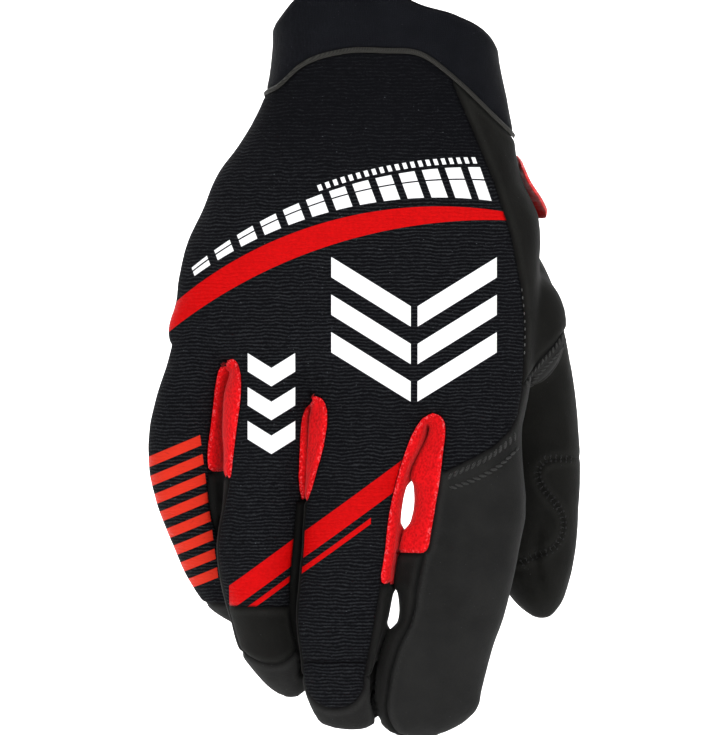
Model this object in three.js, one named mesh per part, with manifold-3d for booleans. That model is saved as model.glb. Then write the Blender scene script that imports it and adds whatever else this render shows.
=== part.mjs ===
// A right-hand work glove, as it hangs on a relaxed hand with the fingers down.
// Millimetres, +Z up. The back of the hand faces -Y, the palm +Y and the thumb +X.
// The origin is the middle of the wrist mouth.
import * as THREE from 'three';
import { mergeVertices } from 'three/addons/utils/BufferGeometryUtils.js';
import Module from 'manifold-3d';

const wasm = await Module();
wasm.setup();

// Driving dimensions
const HAND_LENGTH = 205; // wrist mouth to the longest fingertip
const HAND_BREADTH = 100; // across the knuckles
const HAND_DEPTH = 40; // wrist, front to back
const WALL = 1.6; // cloth, foam and lining together
const SEAM_GAP = 0.3; // between one panel and the next
const FINGER_GAP = 0.5; // between neighbouring fingers
const BINDING_HEIGHT = 1.4;
const BINDING_RELIEF = 0.5; // how far the binding stands out of the wall
const TAB_LENGTH = 17;
const TAB_WIDTH = 15;
const TAB_WALL = 2.4;

// How finely the round forms are faceted
const PALM_SIDES = 22;
const FINGER_SIDES = 10;
const WEDGE_STEPS = 10;
const SEAM_STEPS = 10;
const ROUND_STEPS = 4;

// How square a section is: 2 is an ellipse, and more fills its corners
const PALM_ROUNDNESS = 2.5;
const FINGER_ROUNDNESS = 2.2;

// Lengths of the work space round the glove, for cutting
const REACH = 1.2 * HAND_LENGTH;
const BLOCK_HALF_WIDTH = 0.72 * HAND_BREADTH;
const BLOCK_HALF_DEPTH = 0.8 * HAND_DEPTH;
const HOLLOW_RISE = HAND_DEPTH / 4; // how far the hollow runs on above the top section
const WEB = 2 * WALL; // cloth left between the hollow of the hand and the gaps of the fingers
const MASK_MARGIN = 0.15; // how far a mask stands outside the wall that it picks
const SMALLEST_CORE = 1.2; // half width under which a fingertip is solid
const CRUMB_VOLUME = 2;
const SHARPEST_CORNER = 0.8; // limits how far a sharp corner of an outline moves as it grows

/** Turns rows of numbers into objects with named columns. */
function table(columns, rows) {
  return rows.map((row) => Object.fromEntries(columns.map((name, i) => [name, row[i]])));
}

// Sections through the hand. Along the glove, down is a share of HAND_LENGTH, left and right are
// shares of HAND_BREADTH, and middle and half are shares of HAND_DEPTH. lean is how much lower the
// thumb side of a section lies than its little-finger side, as a share of HAND_LENGTH, and droop is
// how far its little-finger side curls towards the palm, as a share of HAND_DEPTH.
const palmSections = table(
  ['down', 'left', 'right', 'middle', 'half', 'lean', 'droop'],
  [
    [-0.03, -0.318, 0.312, 0.0, 0.5, 0.0, 0.0],
    [0.1, -0.321, 0.325, 0.0, 0.495, 0.0, 0.0],
    [0.15, -0.346, 0.346, 0.0, 0.485, 0.0, 0.0],
    [0.2, -0.4, 0.364, 0.0, 0.475, 0.0, 0.02],
    [0.25, -0.468, 0.388, -0.01, 0.465, 0.005, 0.05],
    [0.3, -0.512, 0.42, -0.02, 0.46, 0.01, 0.08],
    [0.35, -0.559, 0.43, -0.025, 0.45, 0.02, 0.12],
    [0.4, -0.577, 0.43, -0.04, 0.435, 0.035, 0.16],
    [0.45, -0.587, 0.42, -0.06, 0.4, 0.06, 0.19],
    [0.5, -0.608, 0.405, -0.08, 0.345, 0.09, 0.22],
    [0.53, -0.605, 0.385, -0.09, 0.27, 0.115, 0.235],
  ],
);

// Sections through each finger, in the same shares. little_seam and thumb_seam are the angles, in
// degrees, of the two seams beside the strip on the back of the finger: 180 is the little-finger
// side, 270 the back and 360 the thumb side.
const fingerColumns = ['down', 'left', 'right', 'middle', 'half', 'little_seam', 'thumb_seam'];

const littleSections = table(fingerColumns, [
  [0.44, -0.575, -0.37, 0.06, 0.26, 170, 322],
  [0.5, -0.61, -0.425, 0.11, 0.265, 170, 322],
  [0.55, -0.643, -0.453, 0.14, 0.265, 170, 322],
  [0.6, -0.664, -0.459, 0.18, 0.265, 170, 325],
  [0.65, -0.662, -0.452, 0.23, 0.26, 170, 328],
  [0.7, -0.636, -0.434, 0.29, 0.255, 170, 330],
  [0.75, -0.596, -0.404, 0.36, 0.25, 170, 330],
  [0.8, -0.549, -0.372, 0.44, 0.225, 170, 330],
  [0.83, -0.51, -0.365, 0.49, 0.18, 170, 330],
  [0.85, -0.47, -0.37, 0.52, 0.12, 170, 330],
  [0.86, -0.44, -0.395, 0.535, 0.06, 170, 330],
]);

const ringSections = table(fingerColumns, [
  [0.44, -0.43, -0.16, -0.06, 0.3, 228, 325],
  [0.5, -0.425, -0.175, -0.06, 0.3, 228, 325],
  [0.55, -0.453, -0.2, -0.06, 0.3, 228, 325],
  [0.6, -0.459, -0.208, -0.05, 0.3, 226, 325],
  [0.65, -0.456, -0.22, -0.04, 0.295, 214, 325],
  [0.7, -0.462, -0.229, -0.02, 0.295, 197, 325],
  [0.75, -0.474, -0.236, 0.0, 0.29, 195, 325],
  [0.8, -0.466, -0.246, 0.04, 0.28, 195, 325],
  [0.85, -0.44, -0.251, 0.1, 0.265, 195, 325],
  [0.9, -0.4, -0.24, 0.18, 0.225, 195, 325],
  [0.948, -0.325, -0.245, 0.255, 0.1, 195, 325],
  [0.957, -0.305, -0.265, 0.265, 0.05, 195, 325],
]);

const middleSections = table(fingerColumns, [
  [0.46, -0.22, 0.15, -0.085, 0.31, 214, 328],
  [0.5, -0.22, 0.15, -0.095, 0.31, 214, 328],
  [0.55, -0.2, 0.14, -0.11, 0.31, 214, 328],
  [0.6, -0.208, 0.124, -0.13, 0.31, 212, 328],
  [0.65, -0.22, 0.077, -0.15, 0.31, 205, 330],
  [0.7, -0.229, 0.053, -0.165, 0.305, 195, 322],
  [0.75, -0.236, 0.046, -0.16, 0.3, 192, 318],
  [0.8, -0.246, 0.031, -0.13, 0.295, 192, 315],
  [0.85, -0.251, 0.012, -0.08, 0.285, 192, 315],
  [0.9, -0.24, -0.012, 0.0, 0.265, 192, 315],
  [0.95, -0.216, -0.036, 0.09, 0.21, 192, 315],
  [0.98, -0.185, -0.05, 0.14, 0.14, 192, 315],
  [0.997, -0.145, -0.075, 0.16, 0.06, 192, 315],
]);

const indexSections = table(fingerColumns, [
  [0.44, 0.09, 0.4, -0.06, 0.3, 215, 385],
  [0.5, 0.095, 0.4, -0.075, 0.305, 215, 385],
  [0.55, 0.116, 0.392, -0.09, 0.31, 215, 385],
  [0.6, 0.126, 0.385, -0.1, 0.31, 215, 385],
  [0.65, 0.08, 0.392, -0.11, 0.31, 218, 385],
  [0.7, 0.076, 0.4, -0.125, 0.31, 222, 385],
  [0.75, 0.047, 0.384, -0.13, 0.31, 224, 385],
  [0.8, 0.032, 0.361, -0.115, 0.305, 224, 385],
  [0.85, 0.037, 0.335, -0.07, 0.295, 222, 385],
  [0.9, -0.008, 0.302, 0.01, 0.275, 222, 385],
  [0.95, -0.032, 0.267, 0.1, 0.235, 222, 385],
  [0.98, -0.025, 0.24, 0.155, 0.18, 222, 385],
  [1.0, 0.01, 0.19, 0.185, 0.11, 222, 385],
  [1.008, 0.06, 0.14, 0.195, 0.05, 222, 385],
]);

const thumbSections = table(fingerColumns, [
  [0.24, 0.08, 0.34, 0.14, 0.29, 180, 360],
  [0.3, 0.1, 0.372, 0.19, 0.31, 180, 360],
  [0.4, 0.17, 0.472, 0.37, 0.335, 180, 360],
  [0.5, 0.23, 0.52, 0.55, 0.335, 180, 360],
  [0.6, 0.26, 0.543, 0.63, 0.325, 180, 360],
  [0.7, 0.27, 0.541, 0.65, 0.31, 180, 360],
  [0.75, 0.285, 0.534, 0.645, 0.285, 180, 360],
  [0.8, 0.32, 0.518, 0.63, 0.23, 180, 360],
  [0.83, 0.37, 0.495, 0.62, 0.155, 180, 360],
  [0.847, 0.415, 0.468, 0.615, 0.07, 180, 360],
]);

const fingers = {
  little: littleSections,
  ring: ringSections,
  middle: middleSections,
  index: indexSections,
  thumb: thumbSections,
};

// Height of the wrist mouth and of the seam under the band, across the back of the glove.
// across is a share of HAND_BREADTH, the heights are shares of HAND_LENGTH.
const cuffLines = table(
  ['across', 'mouth', 'seam'],
  [
    [-0.36, 0.07, 0.135],
    [-0.3, 0.035, 0.125],
    [-0.24, 0.005, 0.1],
    [-0.12, -0.01, 0.08],
    [0.0, -0.002, 0.079],
    [0.1, 0.012, 0.084],
    [0.2, 0.034, 0.122],
    [0.3, 0.062, 0.168],
    [0.36, 0.1, 0.19],
  ],
);
// Under the band on the palm side: where the seam lies, a share of HAND_LENGTH, and how far round
// the wrist it blends into the line on the back, a share of HAND_DEPTH
const palmSeam = { down: 0.15, blend: 0.3 };

// Seam between the back panel and the strip beside it, from the wrist to the index finger
const backSeam = table(
  ['across', 'down'],
  [
    [0.15, -0.05],
    [0.19, 0.127],
    [0.244, 0.187],
    [0.305, 0.257],
    [0.353, 0.332],
    [0.381, 0.4],
    [0.391, 0.45],
    [0.389, 0.5],
    [0.384, 0.541],
    [0.372, 0.574],
  ],
);
// Lower edge of the back panel over the index finger and above the gaps between the fingers
const backHem = table(
  ['across', 'down'],
  [
    [0.35, 0.594],
    [0.305, 0.615],
    [0.241, 0.632],
    [0.171, 0.648],
    [0.165, 0.6],
    [0.145, 0.57],
    [-0.19, 0.545],
    [-0.42, 0.5],
    [-1.0, 0.5],
  ],
);
// Seam round the foot of the thumb
const thumbSeam = table(
  ['across', 'down'],
  [
    [0.8, 0.4],
    [0.504, 0.459],
    [0.473, 0.48],
    [0.434, 0.499],
    [0.389, 0.531],
    [0.3, 0.6],
    [0.1, 0.66],
  ],
);
// How deep the back panel and the thumb-side strip reach towards the palm, shares of HAND_DEPTH
const reachToPalm = { back: 0.1, thumb_side: 0.28 };

const PALM_SEAM_ANGLE = 25; // how far past the sides of a finger its palm panel starts, in degrees

// Red gussets: where each starts, how far it runs down both fingers, and the end of the side walls
const gussets = table(
  ['little_side', 'thumb_side', 'start', 'little_end', 'thumb_end'],
  [
    ['little', 'ring', 0.475, 0.652, 0.652],
    ['ring', 'middle', 0.515, 0.69, 0.69],
    ['middle', 'index', 0.55, 0.809, 0.76],
  ],
);
const sideWallEnds = { little: 0.82, ring: 0.9, middle: 0.93, index: 0.95 };

// Strips on the backs of the fingers: where the back panel and the end pieces stop
const stripEnds = { little: 0.835, ring: 0.835, middle: 0.91 };
const endPieces = { ring: 0.9, middle: 0.968 };

// Where other panels start and end down the glove, shares of HAND_LENGTH
const extents = {
  strips: { start: 0.48 },
  index_back: { start: 0.5, end: 0.985 },
  thumb: { start: 0.36, end: 0.86 },
  thumb_patch: { start: 0.5, end: 0.86 },
  outlines: { start: -0.05 },
};

// Wavy seam of the patch that covers the outer side and the tip of the thumb
const patchSeam = table(
  ['across', 'down'],
  [
    [0.8, 0.634],
    [0.52, 0.634],
    [0.455, 0.638],
    [0.43, 0.655],
    [0.445, 0.677],
    [0.495, 0.703],
    [0.51, 0.722],
    [0.5, 0.745],
    [0.465, 0.763],
    [0.385, 0.778],
    [0.2, 0.79],
  ],
);

// Place of the pull tab, as shares of HAND_LENGTH and HAND_DEPTH
const tabPlace = { down: 0.262, middle: 0.14 };

const along = (down) => -down * HAND_LENGTH;
const across = (share) => share * HAND_BREADTH;
const depth = (share) => share * HAND_DEPTH;

/** Value of a column at a place between two rows. */
function between(rows, key, at, column) {
  const last = rows.length - 1;
  if (at <= rows[0][key]) return rows[0][column];
  if (at >= rows[last][key]) return rows[last][column];
  const i = rows.findIndex((row) => row[key] >= at);
  const part = (at - rows[i - 1][key]) / (rows[i][key] - rows[i - 1][key]);
  return THREE.MathUtils.lerp(rows[i - 1][column], rows[i][column], part);
}

/** The section of a table at a place down the glove. */
function sectionAt(rows, down) {
  const names = Object.keys(rows[0]);
  const values = names.map((name) => between(rows, 'down', down, name));
  return Object.assign(Object.fromEntries(names.map((name, i) => [name, values[i]])), { down });
}

/** Point at an angle on a section, grown by some millimetres. */
function pointOn(section, angle, grow, roundness) {
  const halfWidth = across(section.right - section.left) / 2 + grow;
  const halfDepth = depth(section.half) + grow;
  const bend = (value) => Math.sign(value) * Math.abs(value) ** (2 / roundness);
  const offset = halfWidth * bend(Math.cos(angle));
  const side = offset / across(section.right - section.left);
  const curl = (section.droop ?? 0) * Math.min(2 * side, 0) ** 2;
  const x = across(section.left + section.right) / 2 + offset;
  const y = depth(section.middle + curl) + halfDepth * bend(Math.sin(angle));
  const z = along(section.down + (section.lean ?? 0) * side);
  return new THREE.Vector3(x, y, z);
}

function ring(section, grow, sides, roundness) {
  return Array.from({ length: sides }, (_, i) =>
    pointOn(section, (2 * Math.PI * i) / sides, grow, roundness),
  );
}

/** Closed solid through rings of points, the first ring on top. */
function loft(rings) {
  const count = rings[0].length;
  const points = rings.flat();
  const faces = [];
  for (let r = 0; r + 1 < rings.length; r += 1) {
    for (let i = 0; i < count; i += 1) {
      const a = r * count + i;
      const b = r * count + ((i + 1) % count);
      faces.push(a, a + count, b, b, a + count, b + count);
    }
  }
  const end = (rings.length - 1) * count;
  for (let i = 1; i + 1 < count; i += 1) {
    faces.push(0, i, i + 1);
    faces.push(end, end + i + 1, end + i);
  }
  return solid(points, faces);
}

function solid(points, faces) {
  const geometry = new THREE.BufferGeometry().setFromPoints(points);
  geometry.setIndex(faces);
  return fromGeometry(geometry);
}

function fromGeometry(geometry) {
  const bare = geometry.clone();
  bare.deleteAttribute('normal');
  bare.deleteAttribute('uv');
  const merged = mergeVertices(bare, 1e-4);
  return new wasm.Manifold(
    new wasm.Mesh({
      numProp: 3,
      vertProperties: new Float32Array(merged.attributes.position.array),
      triVerts: new Uint32Array(merged.index.array),
    }),
  );
}

/** Solid of an outline in share coordinates, run through the glove from one depth to another. */
function prismThrough(outline, nearDepth, farDepth) {
  const shape = new THREE.Shape(outline.map((p) => new THREE.Vector2(p.x, p.z)));
  const geometry = new THREE.ExtrudeGeometry(shape, {
    depth: farDepth - nearDepth,
    bevelEnabled: false,
  });
  geometry.rotateX(Math.PI / 2);
  geometry.translate(0, farDepth, 0);
  return fromGeometry(geometry);
}

/** An outline moved outwards by a distance, corner by corner. */
function grown(outline, distance) {
  const sense = Math.sign(THREE.ShapeUtils.area(outline.map((p) => ({ x: p.x, y: p.z }))));
  return outline.map((p, i) => {
    const before = outline[(i + outline.length - 1) % outline.length];
    const after = outline[(i + 1) % outline.length];
    const one = new THREE.Vector2(p.z - before.z, before.x - p.x).normalize();
    const two = new THREE.Vector2(after.z - p.z, p.x - after.x).normalize();
    const corner = one.clone().add(two);
    const reach = (sense * distance * 2) / Math.max(corner.lengthSq(), SHARPEST_CORNER);
    return { x: p.x + corner.x * reach, z: p.z + corner.y * reach };
  });
}

const placed = (rows) => rows.map((row) => ({ x: across(row.across), z: along(row.down) }));

/** Everything above a surface whose depth down the glove depends on the place across it. */
function blockAbove(downAt, lower) {
  const stepsX = SEAM_STEPS;
  const stepsY = SEAM_STEPS / 2;
  const points = [];
  for (const top of [true, false]) {
    for (let j = 0; j <= stepsY; j += 1) {
      for (let i = 0; i <= stepsX; i += 1) {
        const x = BLOCK_HALF_WIDTH * ((2 * i) / stepsX - 1);
        const y = BLOCK_HALF_DEPTH * ((2 * j) / stepsY - 1);
        points.push(new THREE.Vector3(x, y, top ? REACH : along(downAt(x, y)) - lower));
      }
    }
  }
  const row = stepsX + 1;
  const layer = row * (stepsY + 1);
  const faces = [];
  for (let j = 0; j < stepsY; j += 1) {
    for (let i = 0; i < stepsX; i += 1) {
      const a = j * row + i;
      faces.push(a, a + 1, a + row, a + 1, a + row + 1, a + row);
      faces.push(layer + a, layer + a + row, layer + a + 1);
      faces.push(layer + a + 1, layer + a + row, layer + a + row + 1);
    }
  }
  const edge = [];
  for (let i = 0; i < stepsX; i += 1) edge.push(i);
  for (let j = 0; j < stepsY; j += 1) edge.push(j * row + stepsX);
  for (let i = stepsX; i > 0; i -= 1) edge.push(stepsY * row + i);
  for (let j = stepsY; j > 0; j -= 1) edge.push(j * row);
  edge.forEach((a, k) => {
    const b = edge[(k + 1) % edge.length];
    faces.push(a, layer + a, b, b, layer + a, layer + b);
  });
  return solid(points, faces);
}

const mouthAt = (x) => between(cuffLines, 'across', x / HAND_BREADTH, 'mouth');

function cuffSeamAt(x, y) {
  const onBack = between(cuffLines, 'across', x / HAND_BREADTH, 'seam');
  const part = THREE.MathUtils.smoothstep(y, -depth(palmSeam.blend), depth(palmSeam.blend));
  return THREE.MathUtils.lerp(onBack, palmSeam.down, part);
}

/** The whole outer form, grown by some millimetres. */
function outerForm(grow) {
  let form = loft(palmSections.map((s) => ring(s, grow, PALM_SIDES, PALM_ROUNDNESS)));
  for (const rows of Object.values(fingers)) form = form.add(fingerForm(rows, grow));
  return form;
}

function fingerForm(rows, grow) {
  const side = rows === thumbSections ? grow : grow - FINGER_GAP / 2;
  return loft(rows.map((s) => ring(s, side, FINGER_SIDES, FINGER_ROUNDNESS)));
}

/** The hollow inside the wall: open above the mouth, and closed short of each fingertip. */
function innerForm() {
  const lastPalm = palmSections.length - 1;
  const palmRings = palmSections.map((s, i) => {
    const raised = i === lastPalm ? { ...s, down: s.down - WEB / HAND_LENGTH } : s;
    return ring(raised, -WALL, PALM_SIDES, PALM_ROUNDNESS);
  });
  palmRings[0].forEach((p) => p.setZ(p.z + HOLLOW_RISE));
  let form = loft(palmRings);
  for (const rows of Object.values(fingers)) {
    const least = SMALLEST_CORE + WALL + FINGER_GAP / 2;
    const open = rows.filter(
      (s) => across(s.right - s.left) / 2 > least && depth(s.half) > least,
    );
    form = form.add(fingerForm(open, -WALL));
  }
  return form;
}

/** The sections of a finger between two places down it. */
function sectionsBetween(rows, top, bottom, grow) {
  const first = top - grow / HAND_LENGTH;
  const last = bottom + grow / HAND_LENGTH;
  const inside = rows.filter((s) => s.down > first && s.down < last);
  return [sectionAt(rows, first), ...inside, sectionAt(rows, last)];
}

/** How far outside a finger's section its masks lie. */
function maskReach(rows, grow) {
  return grow + MASK_MARGIN - (rows === thumbSections ? 0 : FINGER_GAP / 2);
}

/** Mask round a whole finger between two places down it. */
function sleeve(rows, top, bottom, grow) {
  const reach = maskReach(rows, grow);
  const sections = sectionsBetween(rows, top, bottom, grow);
  return loft(sections.map((s) => ring(s, reach, 2 * FINGER_SIDES, FINGER_ROUNDNESS)));
}

/** Wedge of a finger between two angles and two places down it, to pick one panel of its wall. */
function wedge(rows, from, to, top, bottom, grow) {
  const reach = maskReach(rows, grow);
  const rings = sectionsBetween(rows, top, bottom, grow).map((section) => {
    const radius = across(section.right - section.left) / 2;
    const slack = grow / Math.max(radius, WALL);
    const start = THREE.MathUtils.degToRad(from(section)) - slack;
    const span = THREE.MathUtils.degToRad(to(section)) + slack - start;
    const arc = Array.from({ length: WEDGE_STEPS + 1 }, (_, i) =>
      pointOn(section, start + (span * i) / WEDGE_STEPS, reach, FINGER_ROUNDNESS),
    );
    const core = new THREE.Vector3(
      across(section.left + section.right) / 2,
      depth(section.middle),
      along(section.down),
    );
    return [core, ...arc];
  });
  return loft(rings);
}

const littleSeam = (section) => section.little_seam;
const thumbSeamAngle = (section) => section.thumb_seam;

/** Back strip of a finger. */
const strip = (rows, top, bottom, grow) =>
  wedge(rows, littleSeam, thumbSeamAngle, top, bottom, grow);
/** Side wall of a finger on its thumb side. */
const thumbWall = (rows, top, bottom, grow) =>
  wedge(rows, thumbSeamAngle, () => 360 + PALM_SEAM_ANGLE, top, bottom, grow);
/** Side wall of a finger on its little-finger side. */
const littleWall = (rows, top, bottom, grow) =>
  wedge(rows, () => 180 - PALM_SEAM_ANGLE, littleSeam, top, bottom, grow);

const below = (rows, grow) =>
  prismThrough(
    grown([...placed(rows), { x: 0, z: -REACH }, { x: REACH, z: -REACH }], grow),
    -REACH,
    REACH,
  );

function backRegion(grow) {
  const corner = { x: -REACH / 2, z: along(extents.outlines.start) };
  const outline = [...placed(backSeam), ...placed(backHem), corner];
  const flat = prismThrough(grown(outline, grow), -REACH, depth(reachToPalm.back) + grow);
  return Object.entries(stripEnds).reduce(
    (region, [name, end]) => region.add(strip(fingers[name], extents.strips.start, end, grow)),
    flat,
  );
}

function stripRegion(grow) {
  const besideStrip = thumbSeam.filter((row) => row.down < backSeam.at(-1).down);
  const right = placed(besideStrip).reverse();
  const top = { x: REACH / 2, z: along(extents.outlines.start) };
  const outline = [...placed(backSeam), ...right, top];
  return prismThrough(grown(outline, grow), -REACH, depth(reachToPalm.thumb_side) + grow);
}

const gussetRegion = (row) => (grow) =>
  thumbWall(fingers[row.little_side], row.start, row.little_end, grow).add(
    littleWall(fingers[row.thumb_side], row.start, row.thumb_end, grow),
  );

/** The biggest body of a cut, without the crumbs that a grazing cut can leave. */
function whole(form) {
  const bodies = form.decompose().filter((body) => body.volume() > CRUMB_VOLUME);
  return bodies.reduce((best, body) => (body.volume() > best.volume() ? body : best));
}

// Finishes, by the cloth that each panel is cut from
const finish = (colour, roughness) =>
  new THREE.MeshStandardMaterial({ color: colour, roughness, metalness: 0 });
const cuffKnit = finish('#181822', 0.85);
const ribbedTextile = finish('#141419', 0.9);
const smoothSynthetic = finish('#21211f', 0.75);
const fingerSynthetic = finish('#2b2b2a', 0.7);
const redMesh = finish('#d5121b', 0.8);
const redRubber = finish('#c8141c', 0.45);

const glove = new THREE.Group();
glove.name = 'glove';

function addPiece(name, form, material) {
  const mesh = form.getMesh();
  const geometry = new THREE.BufferGeometry();
  geometry.setAttribute('position', new THREE.BufferAttribute(mesh.vertProperties, 3));
  geometry.setIndex(new THREE.BufferAttribute(mesh.triVerts, 1));
  const piece = new THREE.Mesh(geometry, material);
  piece.name = name;
  glove.add(piece);
}

const mouthCut = blockAbove(mouthAt, 0);
const hollow = innerForm();
let rest = outerForm(0).subtract(hollow).subtract(mouthCut);

/** Cuts one panel out of what is left of the wall, and keeps a seam gap round it. */
function takePanel(name, region, material) {
  addPiece(name, whole(rest.intersect(region(0))), material);
  rest = rest.subtract(region(SEAM_GAP));
}

takePanel('cuff_band', (grow) => blockAbove(cuffSeamAt, grow), cuffKnit);

const bindingSlab = (grow) => blockAbove(cuffSeamAt, SEAM_GAP + BINDING_HEIGHT + grow);
const proudWall = outerForm(BINDING_RELIEF).subtract(hollow);
const underBand = proudWall.subtract(blockAbove(cuffSeamAt, SEAM_GAP));
addPiece('cuff_binding', whole(underBand.intersect(bindingSlab(0))), smoothSynthetic);
rest = rest.subtract(bindingSlab(SEAM_GAP));

const thumbFoot = (grow) => below(thumbSeam, grow);
const thumbHalf = (from, to) => (grow) =>
  wedge(thumbSections, () => from, () => to, extents.thumb.start, extents.thumb.end, grow).intersect(
    thumbFoot(grow),
  );
const thumbPatch = (grow) =>
  sleeve(thumbSections, extents.thumb_patch.start, extents.thumb_patch.end, grow).intersect(
    below(patchSeam, grow),
  );
takePanel('thumb_patch', thumbPatch, smoothSynthetic);
takePanel('thumb_back', thumbHalf(180, 360), smoothSynthetic);
takePanel('thumb_palm', thumbHalf(0, 180), smoothSynthetic);

for (const row of gussets) {
  takePanel(`fourchette_${row.little_side}_${row.thumb_side}`, gussetRegion(row), redMesh);
}
takePanel('thumb_side_strip', stripRegion, smoothSynthetic);
takePanel('back_panel', backRegion, ribbedTextile);
takePanel(
  'index_back',
  (grow) => strip(indexSections, extents.index_back.start, extents.index_back.end, grow),
  fingerSynthetic,
);
for (const [name, end] of Object.entries(endPieces)) {
  const region = (grow) => strip(fingers[name], stripEnds[name], end, grow);
  takePanel(`${name}_end`, region, smoothSynthetic);
}
for (const row of gussets) {
  const [a, b] = [row.little_side, row.thumb_side];
  const thumbward = (grow) => thumbWall(fingers[a], row.little_end, sideWallEnds[a], grow);
  const littleward = (grow) => littleWall(fingers[b], row.thumb_end, sideWallEnds[b], grow);
  takePanel(`side_${a}_thumbward`, thumbward, smoothSynthetic);
  takePanel(`side_${b}_littleward`, littleward, smoothSynthetic);
}
addPiece('palm_panel', whole(rest), fingerSynthetic);

const tabLayer = outerForm(SEAM_GAP + TAB_WALL).subtract(outerForm(SEAM_GAP));
const tabOutline = new THREE.Shape();
tabOutline.absellipse(0, 0, TAB_WIDTH / 2, TAB_LENGTH / 2, 0, 2 * Math.PI);
const tabBlock = new THREE.ExtrudeGeometry(tabOutline, {
  depth: HAND_BREADTH,
  bevelEnabled: false,
  curveSegments: ROUND_STEPS * 4,
});
tabBlock.rotateX(Math.PI / 2);
tabBlock.rotateZ(Math.PI / 2);
tabBlock.translate(0, depth(tabPlace.middle), along(tabPlace.down));
addPiece('pull_tab', whole(tabLayer.intersect(fromGeometry(tabBlock))), redRubber);

export default glove;
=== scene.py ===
"""A right-hand work glove, as it hangs on a relaxed hand with the fingers down.

Metres, +Z up. The back of the hand faces -Y, the palm +Y and the thumb +X. The origin is the
middle of the wrist mouth. The cloth is one smooth skin round the form of the hand, cut into its
sewn panels along the seams. Each panel is then rolled in at its edges and given its thickness.
"""

import logging
import math
from collections.abc import Callable, Sequence
from dataclasses import dataclass
from enum import Enum

import bmesh
import bpy
import numpy as np
from mathutils import Matrix, Quaternion, Vector, noise
from mathutils.bvhtree import BVHTree
from mathutils.kdtree import KDTree

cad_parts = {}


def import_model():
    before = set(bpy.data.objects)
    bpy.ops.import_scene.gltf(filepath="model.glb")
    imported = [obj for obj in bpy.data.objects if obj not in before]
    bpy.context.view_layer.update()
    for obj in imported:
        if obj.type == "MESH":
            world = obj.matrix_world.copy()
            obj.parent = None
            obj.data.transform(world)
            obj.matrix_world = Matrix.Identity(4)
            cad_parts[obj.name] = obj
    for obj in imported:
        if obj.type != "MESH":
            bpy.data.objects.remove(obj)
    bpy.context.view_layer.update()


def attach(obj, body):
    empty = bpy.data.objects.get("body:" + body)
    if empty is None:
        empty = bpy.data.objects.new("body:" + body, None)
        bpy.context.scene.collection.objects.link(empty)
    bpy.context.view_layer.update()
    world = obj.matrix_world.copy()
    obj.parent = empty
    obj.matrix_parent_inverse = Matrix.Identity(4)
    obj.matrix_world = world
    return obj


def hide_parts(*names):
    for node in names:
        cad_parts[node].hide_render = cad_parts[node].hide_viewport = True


LOG = logging.getLogger("work_glove")
Points = np.ndarray
Field = Callable[[Points], np.ndarray]
Outline = Sequence[tuple[float, float]]

MM = 0.001
HAND_LENGTH = 205 * MM  # wrist mouth to the longest fingertip
HAND_BREADTH = 100 * MM  # across the knuckles
HAND_DEPTH = 40 * MM  # wrist, front to back
WALL = 1.5 * MM
TINY = 1e-12
FINGER_GAP = 0.5 * MM
SKIN_VOXEL = 0.95 * MM
SKIN_INSET = 1.0 * MM  # how far inside the form the skin is first made, to keep the fingers apart
LOFT_STEP = 1.5 * MM
LOFT_SIDES = 72
PALM_SEAM_ANGLE = 25
FAR = 1.0


def smooth_at(knots: np.ndarray, values: np.ndarray, where: np.ndarray) -> np.ndarray:
    """Values of a smooth curve through some knots.

    Args:
        knots: Places of the knots, rising.
        values: Value at each knot.
        where: Places to look at. Outside the knots the end values hold.

    Returns:
        The value at each place.
    """
    slopes = np.gradient(values, knots)
    i = np.clip(np.searchsorted(knots, where) - 1, 0, len(knots) - 2)
    step = knots[i + 1] - knots[i]
    t = np.clip((where - knots[i]) / step, 0, 1)
    ahead = t * t * (3 - 2 * t)
    start_pull = step * slopes[i] * t * (1 - t) ** 2
    end_pull = step * slopes[i + 1] * t * t * (t - 1)
    return values[i] * (1 - ahead) + values[i + 1] * ahead + start_pull + end_pull


def smoothstep(value: np.ndarray, low: float, high: float) -> np.ndarray:
    """Smooth rise from 0 at low to 1 at high."""
    t = np.clip((value - low) / (high - low), 0, 1)
    return t * t * (3 - 2 * t)


def placed(rows: Outline) -> np.ndarray:
    """Outline in metres from rows of across and down, shares of the hand's breadth and length."""
    return np.array([(a * HAND_BREADTH, -d * HAND_LENGTH) for a, d in rows])


def rounded(line: np.ndarray, closed: bool = False) -> np.ndarray:
    """The same line with its corners cut twice, so that it runs smoothly.

    Args:
        line: Corners of the line.
        closed: Whether its last corner joins its first.

    Returns:
        The new corners.
    """
    for _ in range(2):
        ahead = np.roll(line, -1, axis=0)
        pairs = np.stack([line * 0.75 + ahead * 0.25, line * 0.25 + ahead * 0.75], axis=1)
        inner = pairs.reshape(-1, line.shape[1])
        line = inner if closed else np.vstack([line[:1], inner[1:-3], line[-1:]])
    return line


def distance_to_line(flat: np.ndarray, line: np.ndarray, closed: bool = False) -> np.ndarray:
    """Distance from points to a line in the XZ plane.

    Args:
        flat: Points as rows of x and z.
        line: Corners of the line.
        closed: Whether its last corner joins its first.

    Returns:
        The distance of each point.
    """
    ends = np.roll(line, -1, axis=0) if closed else line[1:]
    best = np.full(len(flat), FAR)
    for a, b in zip(line, ends):
        run = b - a
        t = np.clip((flat - a) @ run / max(run @ run, 1e-18), 0, 1)
        best = np.minimum(best, np.linalg.norm(flat - a - t[:, None] * run, axis=1))
    return best


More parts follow.
